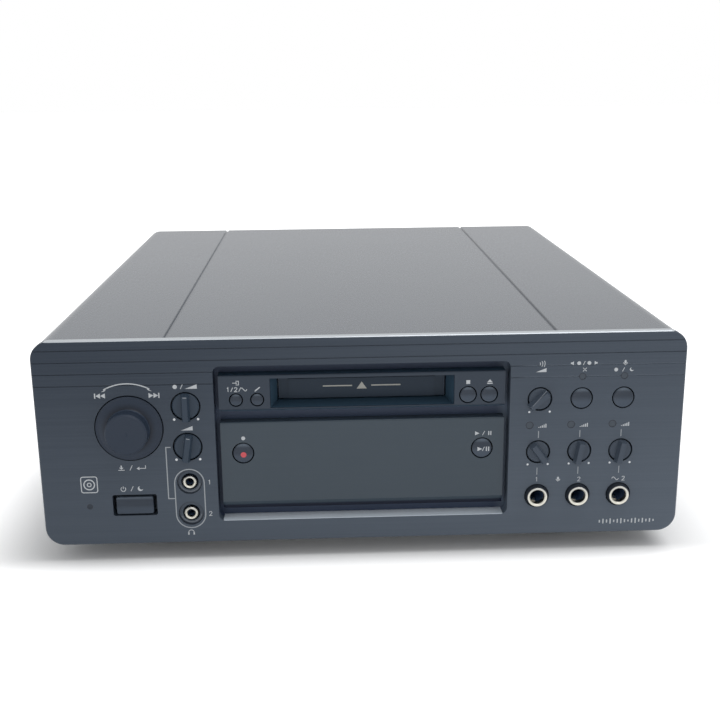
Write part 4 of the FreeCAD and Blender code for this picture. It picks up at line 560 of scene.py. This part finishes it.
def meshPiece(name, mesh, material):
    bmesh.ops.recalc_face_normals(mesh, faces=mesh.faces)
    data = bpy.data.meshes.new(name)
    mesh.to_mesh(data)
    mesh.free()
    data.materials.append(material)
    piece = bpy.data.objects.new(name, data)
    bpy.context.scene.collection.objects.link(piece)
    return piece


def arc(across, high, radius, start, end, steps=12):      # degrees, clockwise from straight up
    points = []
    for i in range(steps + 1):
        turn = math.radians(start + (end - start) * i / steps)
        points.append((across + radius * math.sin(turn), high + radius * math.cos(turn)))
    return points


def circle(across, high, radius, sides=24):
    return arc(across, high, radius, 0, 360 - 360 / sides, sides - 1)


# Each symbol is drawn one unit high about its middle, as lines and filled areas.
symbols = {
    "one": {"lines": [[(-0.22, 0.28), (0, 0.5), (0, -0.5)]]},
    "two": {"lines": [[(-0.3, 0.25), (-0.2, 0.45), (0.1, 0.5), (0.3, 0.3), (0.2, 0.02), (-0.3, -0.5),
                       (0.35, -0.5)]]},
    "dot": {"areas": [circle(0, 0, 0.48)]},
    "wedge": {"areas": [[(-1.3, -0.5), (1.3, -0.5), (1.3, 0.5)]]},
    "square": {"areas": [[(-0.5, -0.5), (0.5, -0.5), (0.5, 0.5), (-0.5, 0.5)]]},
    "play": {"areas": [[(-0.45, -0.5), (0.6, 0), (-0.45, 0.5)]]},
    "pause": {"areas": [[(-0.35, -0.5), (-0.1, -0.5), (-0.1, 0.5), (-0.35, 0.5)],
                        [(0.15, -0.5), (0.4, -0.5), (0.4, 0.5), (0.15, 0.5)]]},
    "slash": {"lines": [[(-0.25, -0.5), (0.25, 0.5)]]},
    "eject": {"areas": [[(-0.6, -0.12), (0.6, -0.12), (0, 0.5)],
                        [(-0.6, -0.5), (0.6, -0.5), (0.6, -0.28), (-0.6, -0.28)]]},
    "skipBack": {"areas": [[(-1.0, -0.5), (-0.78, -0.5), (-0.78, 0.5), (-1.0, 0.5)],
                           [(-0.75, 0), (0.1, -0.5), (0.1, 0.5)], [(0.12, 0), (1.0, -0.5), (1.0, 0.5)]]},
    "skipOn": {"areas": [[(1.0, -0.5), (1.0, 0.5), (0.78, 0.5), (0.78, -0.5)],
                         [(0.75, 0), (-0.1, 0.5), (-0.1, -0.5)], [(-0.12, 0), (-1.0, 0.5), (-1.0, -0.5)]]},
    "power": {"lines": [arc(0, -0.05, 0.45, 40, 320, 14), [(0, 0.5), (0, 0)]]},
    "moon": {"areas": [arc(0, 0, 0.5, 100, 350, 16) + arc(0.198, 0.198, 0.41, 316, 134, 10)[1:-1]]},
    "phones": {"lines": [arc(0, -0.05, 0.5, -95, 95, 12)],
               "areas": [[(-0.62, -0.5), (-0.36, -0.5), (-0.36, -0.02), (-0.62, -0.02)],
                         [(0.36, -0.5), (0.62, -0.5), (0.62, -0.02), (0.36, -0.02)]]},
    "mic": {"areas": [arc(0, 0.28, 0.2, -90, 90, 8) + arc(0, 0.02, 0.2, 90, 270, 8)],
            "lines": [arc(0, 0.02, 0.36, 90, 270, 8), [(0, -0.34), (0, -0.5)]]},
    "into": {"lines": [[(0.1, 0.45), (0.75, 0.45), (0.75, -0.45), (0.1, -0.45)], [(-0.7, 0), (0.2, 0)]],
             "areas": [[(0.05, -0.28), (0.45, 0), (0.05, 0.28)]]},
    "outOf": {"lines": [[(-0.1, 0.45), (-0.75, 0.45), (-0.75, -0.45), (-0.1, -0.45)], [(-0.4, 0), (0.3, 0)]],
              "areas": [[(0.25, -0.28), (0.65, 0), (0.25, 0.28)]]},
    "pencil": {"areas": [[(-0.6, -0.5), (-0.32, -0.42), (0.62, 0.36), (0.44, 0.5), (-0.5, -0.26)]]},
    "echo": {"lines": [arc(-0.9, 0, 0.45, 45, 135, 5), arc(-0.9, 0, 0.95, 50, 130, 6),
                       arc(-0.9, 0, 1.45, 62, 118, 6)]},
    "cross": {"lines": [[(-0.45, -0.45), (0.45, 0.45)], [(-0.45, 0.45), (0.45, -0.45)]]},
    "speaker": {"areas": [[(-0.4, -0.2), (-0.1, -0.2), (0.35, -0.5), (0.35, 0.5), (-0.1, 0.2), (-0.4, 0.2)]]},
    "peak": {"areas": [[(x, -0.5), (x + 0.26, -0.5), (x + 0.26, top), (x, top)]
                       for x, top in ((-1.3, -0.3), (-0.86, -0.1), (-0.42, 0.1), (0.02, 0.3), (0.46, 0.5))]},
    "press": {"areas": [[(-0.42, 0.08), (0, -0.3), (0.42, 0.08)],
                        [(-0.12, 0.5), (0.12, 0.5), (0.12, 0.1), (-0.12, 0.1)]],
              "lines": [[(-0.6, -0.44), (0.6, -0.44)]]},
    "enter": {"lines": [[(0.8, 0.45), (0.8, -0.15), (-0.4, -0.15)]],
              "areas": [[(-0.9, -0.15), (-0.35, -0.5), (-0.35, 0.2)]]},
    "wave": {"lines": [[(-0.8, 0), (-0.55, 0.35), (-0.3, 0.35), (0.3, -0.35), (0.55, -0.35), (0.8, 0)]]},
}


# One printed piece on one body. The face that carries it lies back mm behind the front of the fascia.
class Legend:
    def __init__(self, name, body, back, ink, slot, flip=1):
        self.name = name
        self.body = body
        self.slot = slot
        self.flip = flip      # -1 for marks that are read from behind
        self.ink = inks[ink]
        self.front = faceY + (back - inkLook["thick"]) * mm
        self.rear = faceY + (back + inkLook["sunk"]) * mm
        self.mesh = bmesh.new()

    def corner(self, point, depth):
        return self.mesh.verts.new((point[0] * mm, depth, footZ + point[1] * mm))

    def area(self, outline):
        front = [self.corner(point, self.front) for point in outline]
        rear = [self.corner(point, self.rear) for point in outline]
        self.mesh.faces.new(front)
        self.mesh.faces.new(rear[::-1])
        for i, j in zip(range(len(outline)), [*range(1, len(outline)), 0]):
            self.mesh.faces.new((front[i], rear[i], rear[j], front[j]))

    def line(self, points, wide=inkLook["wide"], closed=False):
        count = len(points)
        rings = []
        for i, here in enumerate(points):
            here = Vector(here)
            before = Vector(points[i - 1]) if i or closed else None
            after = Vector(points[(i + 1) % count]) if i + 1 < count or closed else None
            arriving = (here - before).normalized() if before else (after - here).normalized()
            leaving = (after - here).normalized() if after else arriving
            along = (arriving + leaving).normalized()
            side = Vector((-along.y, along.x))
            reach = wide / 2 / max(inkLook["sharpest"], side.dot(Vector((-arriving.y, arriving.x))))
            left, right = here + side * reach, here - side * reach
            rings.append([self.corner(left, self.front), self.corner(right, self.front),
                          self.corner(right, self.rear), self.corner(left, self.rear)])
        steps = count if closed else count - 1
        for i in range(steps):
            ring, other = rings[i], rings[(i + 1) % count]
            for a, b in ((0, 1), (1, 2), (2, 3), (3, 0)):
                self.mesh.faces.new((ring[a], ring[b], other[b], other[a]))
        if not closed:
            self.mesh.faces.new(rings[0][::-1])
            self.mesh.faces.new(rings[-1])

    def symbol(self, name, across, high, tall, wide=inkLook["wide"], turn=0.0):
        cos, sin = math.cos(math.radians(turn)), math.sin(math.radians(turn))

        def laid(points):
            return [(across + self.flip * (x * cos + z * sin) * tall, high + (z * cos - x * sin) * tall)
                    for x, z in points]
        for points in symbols[name].get("lines", []):
            self.line(laid(points), wide)
        for outline in symbols[name].get("areas", []):
            self.area(laid(outline))

    def marks(self, rows):      # a row is a symbol, its place, how tall and what else symbol takes
        for row in rows:
            self.symbol(*row)

    def done(self):
        piece = meshPiece(self.name, self.mesh, self.ink)
        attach(piece, self.body)


def roundedBox(low, high, bottom, top, corner, steps=5):
    points = []
    for across, up, start in ((high - corner, top - corner, 0), (high - corner, bottom + corner, 90),
                              (low + corner, bottom + corner, 180), (low + corner, top - corner, 270)):
        points += arc(across, up, corner, start, start + 90, steps)
    return points


panelLook = {
    "marks": (
        ("skipBack", -112.0, 68.5, 2.3), ("skipOn", -88.95, 68.3, 2.3),
        ("dot", -80.0, 71.9, 1.95), ("slash", -77.2, 71.9, 1.95), ("wedge", -73.2, 71.9, 1.95),
        ("wedge", -75.87, 53.24, 1.95),
        ("press", -105.0, 35.7, 2.3), ("slash", -100.8, 35.7, 2.3), ("enter", -96.4, 35.7, 2.3),
        ("power", -104.8, 26.0, 2.3), ("slash", -101.0, 26.0, 2.3), ("moon", -97.4, 26.0, 2.3),
        ("phones", -76.3, 4.83, 2.4), ("one", -67.2, 28.2, 1.95, 0.28), ("two", -67.4, 13.5, 1.95, 0.28),
        ("peak", 78.8, 50.9, 1.75), ("peak", 97.0, 50.9, 1.75), ("peak", 115.2, 50.9, 1.75),
        ("echo", 77.4, 78.9, 1.95), ("wedge", 76.9, 76.1, 1.75),
        ("speaker", 90.3, 78.9, 1.75), ("dot", 93.2, 78.9, 1.75), ("slash", 95.4, 78.9, 1.75),
        ("dot", 97.6, 78.9, 1.75), ("speaker", 100.5, 78.9, 1.75, 0.3, 180), ("cross", 95.8, 76.0, 1.75),
        ("mic", 113.3, 78.8, 2.3),
        ("dot", 109.4, 75.7, 1.75), ("slash", 112.6, 75.7, 1.75), ("moon", 116.2, 75.7, 1.75),
        ("one", 76.65, 26.0, 1.9, 0.24), ("mic", 86.1, 25.9, 2.3), ("two", 95.4, 25.7, 1.9, 0.24),
        ("wave", 111.6, 25.6, 1.9), ("two", 115.2, 25.6, 1.9, 0.28),
    ),
    "dial": (-100.5, 53.7, 20.0, 29),      # the arc over the dial: middle, radius, half its turn
    "dialSteps": 18, "dialWide": 0.5,
    "heads": (((-111.2, 70.2), (-108.7, 71.9), (-109.7, 70.6)),
              ((-89.8, 70.2), (-91.3, 70.6), (-92.3, 71.9))),
    "frame": (-122.9, -115.9, 24.6, 31.9, 0.9),      # round the disc at the far left
    "frameWide": 0.4, "roundSteps": (3, 8),
    "discs": ((-119.4, 28.25, 2.3, 18, 0.5), (-119.4, 28.25, 0.85, 12, 0.4)),
    "bars": (0.5, 0.9, 0.6, 1.0, 0.45, 0.75, 1.0, 0.6, 0.35, 0.8, 1.0, 0.55, 0.9, 0.5, 0.7, 0.4),
    "barsFrom": 105.6, "barsHigh": 5.2, "barPitch": 1.62, "barWide": 0.56, "barTall": 2.5,
    "dots": {      # two beside each control: reach, radius and where, mm
        "left": (5.1, 0.55, ((-75.9, 63.1), (-75.9, 44.8))),
        "right": (4.45, 0.4675, ((76.8, 63.1), (76.8, 38.9), (95.0, 38.9), (113.2, 38.9))),
    },
    "dotsBelow": 5.8, "dotSides": 12,
    "ticks": ((0.1, 48.5, 45.3), (0.2, 31.5, 28.2)), "columns": (76.8, 95.0, 113.2), "tickWide": 0.34,
    "bracket": ((-83.3, 44.7), (-85.35, 44.7), (-85.4, 20.95), (-82.7, 20.95)),
    "phonesFrame": (-82.4, -69.6, 7.0, 34.4, 6.35), "outlineWide": 0.45,
}


def panelLegends():
    look = panelLook
    ink = Legend("panel_legends", "deck", 0, "pale", "fascia_black")
    across, high, radius, half = look["dial"]
    ink.line(arc(across, high, radius, -half, half, look["dialSteps"]), look["dialWide"])
    for head in look["heads"]:
        ink.area(head)
    ink.marks(look["marks"])
    few, many = look["roundSteps"]
    ink.line(roundedBox(*look["frame"], few), look["frameWide"], True)
    for across, high, radius, sides, wide in look["discs"]:
        ink.line(circle(across, high, radius, sides), wide, True)
    for i, tall in enumerate(look["bars"]):
        middle, half = look["barsFrom"] + look["barPitch"] * i, look["barWide"] / 2
        low = look["barsHigh"] - look["barTall"] / 2 * tall
        left, right, top = middle - half, middle + half, low + look["barTall"] * tall
        ink.area([(left, low), (right, low), (right, top), (left, top)])
    ink.done()
    ink = Legend("panel_dots", "deck", 0, "white", "fascia_black")
    for reach, radius, spots in look["dots"].values():
        for across, high in spots:
            for side in (-reach, reach):
                ink.area(circle(across + side, high - look["dotsBelow"], radius, look["dotSides"]))
    ink.done()
    ink = Legend("panel_outlines", "deck", 0, "line", "fascia_black")
    for column in look["columns"]:
        for aside, upper, lower in look["ticks"]:
            ink.line([(column - aside, upper), (column - aside, lower)], look["tickWide"])
    ink.line(look["bracket"], look["outlineWide"])
    ink.line(roundedBox(*look["phonesFrame"], many), look["outlineWide"], True)
    ink.done()


windowLook = {
    "barFace": 1.5, "displayFace": 2.0, "keyFace": 1.7,      # mm behind the fascia
    "bar": (("into", -54.4, 72.6, 1.85), ("one", -57.6, 69.7, 1.85), ("slash", -56.0, 69.7, 1.85),
            ("two", -54.3, 69.7, 1.85), ("slash", -52.6, 69.7, 1.85), ("wave", -51.0, 69.7, 1.85),
            ("pencil", -45.1, 69.7, 2.1), ("square", 45.7, 71.0, 1.7), ("eject", 55.1, 71.0, 2.0)),
    "display": (("dot", -52.0, 47.4, 1.8), ("play", 50.0, 47.4, 1.85), ("slash", 52.9, 47.4, 1.85),
                ("pause", 55.6, 47.4, 1.85)),
    "play": (("play", 51.2, 40.2, 2.0), ("slash", 52.9, 40.2, 1.9), ("pause", 54.7, 40.2, 2.0)),
    "rec": (-52.1, 39.9, 1.25),
}


def windowLegends():
    look = windowLook
    ink = Legend("slot_bar_legends", "deck", look["barFace"], "pale", "moulded_black")
    ink.marks(look["bar"])
    ink.done()
    ink = Legend("window_legends", "deck", look["displayFace"], "pale", "smoked_acrylic")
    ink.marks(look["display"])
    ink.done()
    ink = Legend("play_pause_legend", "play_pause_key", look["keyFace"], "pale", "knob_black")
    ink.marks(look["play"])
    ink.done()
    ink = Legend("rec_legend", "rec_key", look["keyFace"], "red", "knob_black")
    ink.area(circle(*look["rec"]))
    ink.done()


rearMarks = (("one", 90.0, 42.0, 2.6), ("two", 90.0, 26.0, 2.6), ("into", 30.5, 25.4, 2.6),
             ("outOf", 17.5, 25.4, 2.6), ("wave", -104.0, 40.0, 2.6))


def rearLegends():
    back = (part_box("rear_panel")[1].y - faceY) / mm + inkLook["thick"] - inkLook["sunk"]
    ink = Legend("rear_legends", "deck", back, "pale", "cover_black", -1)
    ink.marks(rearMarks)
    ink.done()


flapLook = {"face": 9.4, "arrow": ((-2.2, 66.7), (2.2, 66.7), (0, 69.9)), "lines": (4.2, 17.0, 68.2),
            "wide": 0.55}


# An arrow between two lines shows where the disc goes in.
def flapMark():
    look = flapLook
    ink = Legend("flap_mark", "flap", look["face"], "mark", "moulded_black")
    ink.area(look["arrow"])
    inner, outer, high = look["lines"]
    for side in (-1, 1):
        ink.line([(side * inner, high), (side * outer, high)], look["wide"])
    ink.done()


tickLook = {
    "face": -3.2,      # the pointers' crest stands proud of the fascia
    "rec_level": (((-76.5, 67.8), (-74.9, 67.8)), 0.27, "line"),
    "phones_level": (((-76.0, 49.5), (-74.5, 49.2)), 0.27, "line"),
    # painted highlight along the echo pointer's crest
    "echo_level": (((73.2, 60.8), (78.9, 67.6)), 0.3, "dim"),
}


# The rec and phones level pointers carry a short printed tick; the line along the echo pointer's crest is a
# painted highlight.
def pointerTicks():
    for knob in ("rec_level", "phones_level", "echo_level"):
        points, wide, shade = tickLook[knob]
        ink = Legend(knob + "_tick", knob, tickLook["face"], shade, "knob_black")
        ink.line(points, wide)
        ink.done()


lampLook = {"spots": ((95.0, 72.9, 1.3), (113.2, 72.9, 1.3), (72.7, 51.2, 1.45), (90.9, 51.2, 1.45),
                      (109.1, 51.2, 1.45), (-119.8, 18.0, 1.0)), "rim": 0.28}


# Painted shade: a thin dark ring round each lamp lens stands in for the shade in the gap round it.
def lampShadeRings():
    rim = lampLook["rim"]
    ink = Legend("lamp_rims", "deck", 0, "dark", "fascia_black")
    for across, high, radius in lampLook["spots"]:
        ink.line(circle(across, high, radius + rim / 2), rim, True)
    ink.done()


# The 'worn' arc is where the painted highlight lies: from and to in degrees, then steps.
phonesLook = {"across": -75.9, "rows": (28.2, 13.8), "floor": 1.0, "outline": 5.25, "outlineWide": 0.42,
              "outlineSides": 36, "crescent": 4.45, "crescentWide": 0.5, "worn": (100, 250, 20)}


# Each phones recess has a painted shade line round its floor and a painted highlight crescent low down.
def phonesRings():
    look = phonesLook
    ink = Legend("phones_recess_lines", "deck", look["floor"], "dark", "fascia_black")
    for high in look["rows"]:
        rim = circle(look["across"], high, look["outline"], look["outlineSides"])
        ink.line(rim, look["outlineWide"], True)
    ink.done()
    ink = Legend("phones_recess_shine", "deck", look["floor"], "dim", "fascia_black")
    for high in look["rows"]:
        ink.line(arc(look["across"], high, look["crescent"], *look["worn"]), look["crescentWide"])
    ink.done()


springLook = {"axes": (76.8, 95.0, 113.2), "high": 18.3, "bore": 3.15, "bow": 1.15, "start": 1.2, "end": 6.5,
              "turn": 202.0, "spread": 16.0, "thick": 0.15, "rows": 10, "columns": 4}


# The contact spring of each large jack bows into its bore.
def jackSprings():
    look = springLook
    mesh = bmesh.new()
    rows, columns = look["rows"], look["columns"]
    for axis in look["axes"]:
        skins = []
        for lift in (0.0, look["thick"]):
            skin = []
            for i in range(rows + 1):
                along = i / rows
                radius = look["bore"] - lift - look["bow"] * math.sin(math.pi * along)
                depth = faceY + (look["start"] + (look["end"] - look["start"]) * along) * mm
                half = look["spread"]
                rim = arc(axis, look["high"], radius, look["turn"] - half, look["turn"] + half, columns)
                skin.append([mesh.verts.new((across * mm, depth, footZ + high * mm)) for across, high in rim])
            skins.append(skin)
        outer, inner = skins
        for i in range(rows):
            for j in range(columns):
                for skin in skins:
                    mesh.faces.new((skin[i][j], skin[i][j + 1], skin[i + 1][j + 1], skin[i + 1][j]))
            for j in (0, columns):
                mesh.faces.new((outer[i][j], outer[i + 1][j], inner[i + 1][j], inner[i][j]))
        for j in range(columns):
            for i in (0, rows):
                mesh.faces.new((outer[i][j], outer[i][j + 1], inner[i][j + 1], inner[i][j]))
    piece = meshPiece("jack_springs", mesh, looks["nickel"])
    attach(piece, "deck")


panelLegends()
windowLegends()
flapMark()
rearLegends()
pointerTicks()
lampShadeRings()
phonesRings()
jackSprings()
print("printed marks done")


sillLook = {
    "half": 63.0, "front": 0.06, "back": 7.4, "low": 9.86, "top": 10.12, "round": 0.12,      # mm
    "colour": (0.66, 0.74, 0.82), "behind": (0.84, 0.92, 1.0), "shelf": (2.0, 5.5), "roughness": 0.4,
    "lines": {"size": 0.3, "detail": 3.0, "stretch": (0.02, 1, 1)}, "lineShare": 0.7, "darker": 0.7,
    "surface": {"deep": 0.01},
}


# A bright brushed strip lies on the ledge under the display.
def sillStrip():
    look = sillLook
    mesh = bmesh.new()
    profile = [(look["front"], look["low"]), (look["back"], look["low"]), (look["back"], look["top"]),
               (look["front"] + look["round"], look["top"]), (look["front"], look["top"] - look["round"])]
    ends = []
    for x in (-look["half"] * mm, look["half"] * mm):
        ends.append([mesh.verts.new((x, faceY + back * mm, footZ + up * mm)) for back, up in profile])
    mesh.faces.new(ends[0])
    mesh.faces.new(ends[1][::-1])
    for i in range(len(profile)):
        j = (i + 1) % len(profile)
        mesh.faces.new((ends[0][i], ends[1][i], ends[1][j], ends[0][j]))
    finish = Finish("sill_satin", look["colour"], look["roughness"])
    lines = finish.grain(**look["lines"])
    worn = finish.tint(look["lineShare"] * lines, tuple(look["darker"] * part for part in look["colour"]))
    # painted light: the strip's rear, in shade under the display, is a lighter colour
    shelf = finish.place("Y").between(*(faceY + back * mm for back in look["shelf"]))
    finish.into("Base Color", finish.mix(shelf, worn, look["behind"]))
    finish.uneven(lines, **look["surface"])
    piece = meshPiece("window_sill", mesh, finish.material)
    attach(piece, "deck")


sillStrip()


screwLook = {
    "sides": 28, "headTall": 1.5, "tip": 0.4, "shank": 1.5, "point": 0.9,
    "head": ((0.0, 0.0), (1.86, 0.0), (2.7, -0.28), (3.0, -0.75)),    # radius and height along the head, mm
    "crossLong": 1.7, "crossWide": 0.42, "crossDeep": 0.9, "crossTaper": 0.7, "crossClear": 0.5,
    "feet": ((-86.0, -132.8), (-86.0, 134.2), (86.0, -132.8), (86.0, 134.2)), "footLow": 3.7, "footTop": 12.0,
    "rear": ((-120.0, 92.5), (120.0, 92.5), (-120.0, 14.3), (120.0, 14.3)),
    "rearEnd": 163.5, "rearStart": 156.0,
}


def screwBlank(long):
    look = screwLook
    mesh = bmesh.new()
    profile = [*look["head"], (look["head"][-1][0], -look["headTall"]), (look["shank"], -look["headTall"]),
               (look["shank"], look["tip"] - long), (look["point"], -long), (0.0, -long)]
    rings = []
    for radius, height in profile:
        spots = circle(0.0, 0.0, radius, look["sides"]) if radius else [(0.0, 0.0)]
        rings.append([mesh.verts.new((x * mm, z * mm, height * mm)) for x, z in spots])
    for ring, other in zip(rings, rings[1:]):
        for i in range(look["sides"]):
            j = (i + 1) % look["sides"]
            corners = [ring[i % len(ring)], ring[j % len(ring)], other[j % len(other)], other[i % len(other)]]
            mesh.faces.new(list(dict.fromkeys(corners)))
    return meshPiece("screw_blank", mesh, looks["screw_black"])


def crossTool():
    look = screwLook
    mesh = bmesh.new()
    long, wide = look["crossLong"] * mm, look["crossWide"] * mm
    outline = [(wide, wide), (long, wide), (long, -wide), (wide, -wide), (wide, -long), (-wide, -long),
               (-wide, -wide), (-long, -wide), (-long, wide), (-wide, wide), (-wide, long), (wide, long)]
    taper = look["crossTaper"]
    top = [mesh.verts.new((x, y, look["crossClear"] * mm)) for x, y in outline]
    foot = [mesh.verts.new((x * taper, y * taper, -look["crossDeep"] * mm)) for x, y in outline]
    mesh.faces.new(top)
    mesh.faces.new(foot[::-1])
    for i in range(len(outline)):
        j = (i + 1) % len(outline)
        mesh.faces.new((top[i], foot[i], foot[j], top[j]))
    return meshPiece("screw_cross", mesh, looks["screw_black"])


def screwMesh(place, outward, up, long):
    blank, tool = screwBlank(long), crossTool()
    driven = blank.modifiers.new("recess", "BOOLEAN")
    driven.object = tool
    driven.operation = "DIFFERENCE"
    driven.solver = "EXACT"
    bpy.context.view_layer.update()
    made = bpy.data.meshes.new_from_object(blank.evaluated_get(bpy.context.evaluated_depsgraph_get()))
    for thing in (blank, tool):
        bpy.data.objects.remove(thing)
    turn = outward.to_track_quat("Z", up).to_matrix().to_4x4()
    turn.translation = place
    made.transform(turn)
    return made


# Pan head screws with a cross recess: four in the feet and four in the rear panel.
def caseScrews():
    look = screwLook
    joined = bmesh.new()
    for across, back in look["feet"]:
        joined.from_mesh(screwMesh(Vector((across, back, look["footLow"])) * mm, Vector((0, 0, -1)), "Y",
                                   look["footTop"] - look["footLow"]))
    for across, high in look["rear"]:
        joined.from_mesh(screwMesh(Vector((across, look["rearEnd"], high)) * mm, Vector((0, 1, 0)), "X",
                                   look["rearEnd"] - look["rearStart"]))
    piece = meshPiece("cross_screws", joined, looks["screw_black"])
    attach(piece, "deck")
    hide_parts("case_screws")


caseScrews()
print("strip and screws done")


stageLook = {
    "half": 6.0, "floor": (0.90, 0.905, 0.91), "dull": 0.8, "gloss": 0.2, "glow": 0.55, "under": 0.035,
    "deck": ((-0.140, 0.135), (-0.158, 0.165)),      # what the painted shadow lies round, then how far it reaches, m
    "fade": {"left": 0.022, "right": 0.03, "near": 0.02, "far": 0.03,
             "corner": 0.036, "from": 0.04, "to": -0.08},
    "world": 0.60, "lamp": 42.0, "lampSize": 2.2, "lampPlace": (0.9, 0.1, 2.8),
}


# The floor is plain and pale, as white as the backdrop away from the deck; near it the glow fades to a
# painted shadow.
def whiteFloor():
    look = stageLook
    mesh = bpy.data.meshes.new("floor")
    reach = look["half"]
    mesh.from_pydata([(-reach, -reach, 0), (reach, -reach, 0), (reach, reach, 0), (-reach, reach, 0)], [],
                     [(0, 1, 2, 3)])
    floor = bpy.data.objects.new("floor", mesh)
    bpy.context.scene.collection.objects.link(floor)
    finish = Finish("floor_white", look["floor"], look["dull"], Specular_IOR_Level=look["gloss"],
                    Emission_Strength=1.0)
    (left, right), (near, far) = look["deck"]
    x, y = finish.place("X"), finish.place("Y")
    fade = look["fade"]
    wider = fade["corner"] * y.between(fade["from"], fade["to"])      # the painted shadow is wider beside the front
    outside = [(left - x) / (fade["left"] + wider), (x - right) / (fade["right"] + wider),
               (near - y) / fade["near"], (y - far) / fade["far"]]
    reachOut = 0.0
    for side in outside:
        clear = side.maths("MAXIMUM", side, 0.0)
        reachOut = clear * clear + reachOut
    # painted shadow: near the deck the glow fades out over the lamp's real shadow, and a faint painted light
    # stays under the deck
    clear = reachOut.root().between(0.0, 1.0) * finish.rayShare()
    finish.into("Emission Color", finish.mix(clear, (look["under"],) * 3, (look["glow"],) * 3))
    mesh.materials.append(finish.material)


def studioLight():
    look = stageLook
    world = bpy.data.worlds.new("studio")
    world.use_nodes = True
    bpy.context.scene.world = world
    sky = NodeTree(world.node_tree)
    backdrop = sky.tree.nodes["Background"]
    sky.feed(backdrop.inputs["Color"], (1, 1, 1, 1))
    sky.feed(backdrop.inputs["Strength"], sky.node("ShaderNodeMapRange", values={
        "Value": sky.rayShare(), "To Min": look["world"], "To Max": 1.0}))
    softbox = bpy.data.lights.new("softbox", "AREA")
    softbox.energy = look["lamp"]
    softbox.size = look["lampSize"]
    lamp = bpy.data.objects.new("softbox", softbox)
    lamp.location = look["lampPlace"]
    lamp.rotation_euler = (Vector((0, 0, 0)) - lamp.location).to_track_quat("-Z", "Y").to_euler()
    bpy.context.scene.collection.objects.link(lamp)


whiteFloor()
studioLight()
print("stage done")

bpy.context.scene.view_settings.view_transform = "Standard"
print("all pieces done")
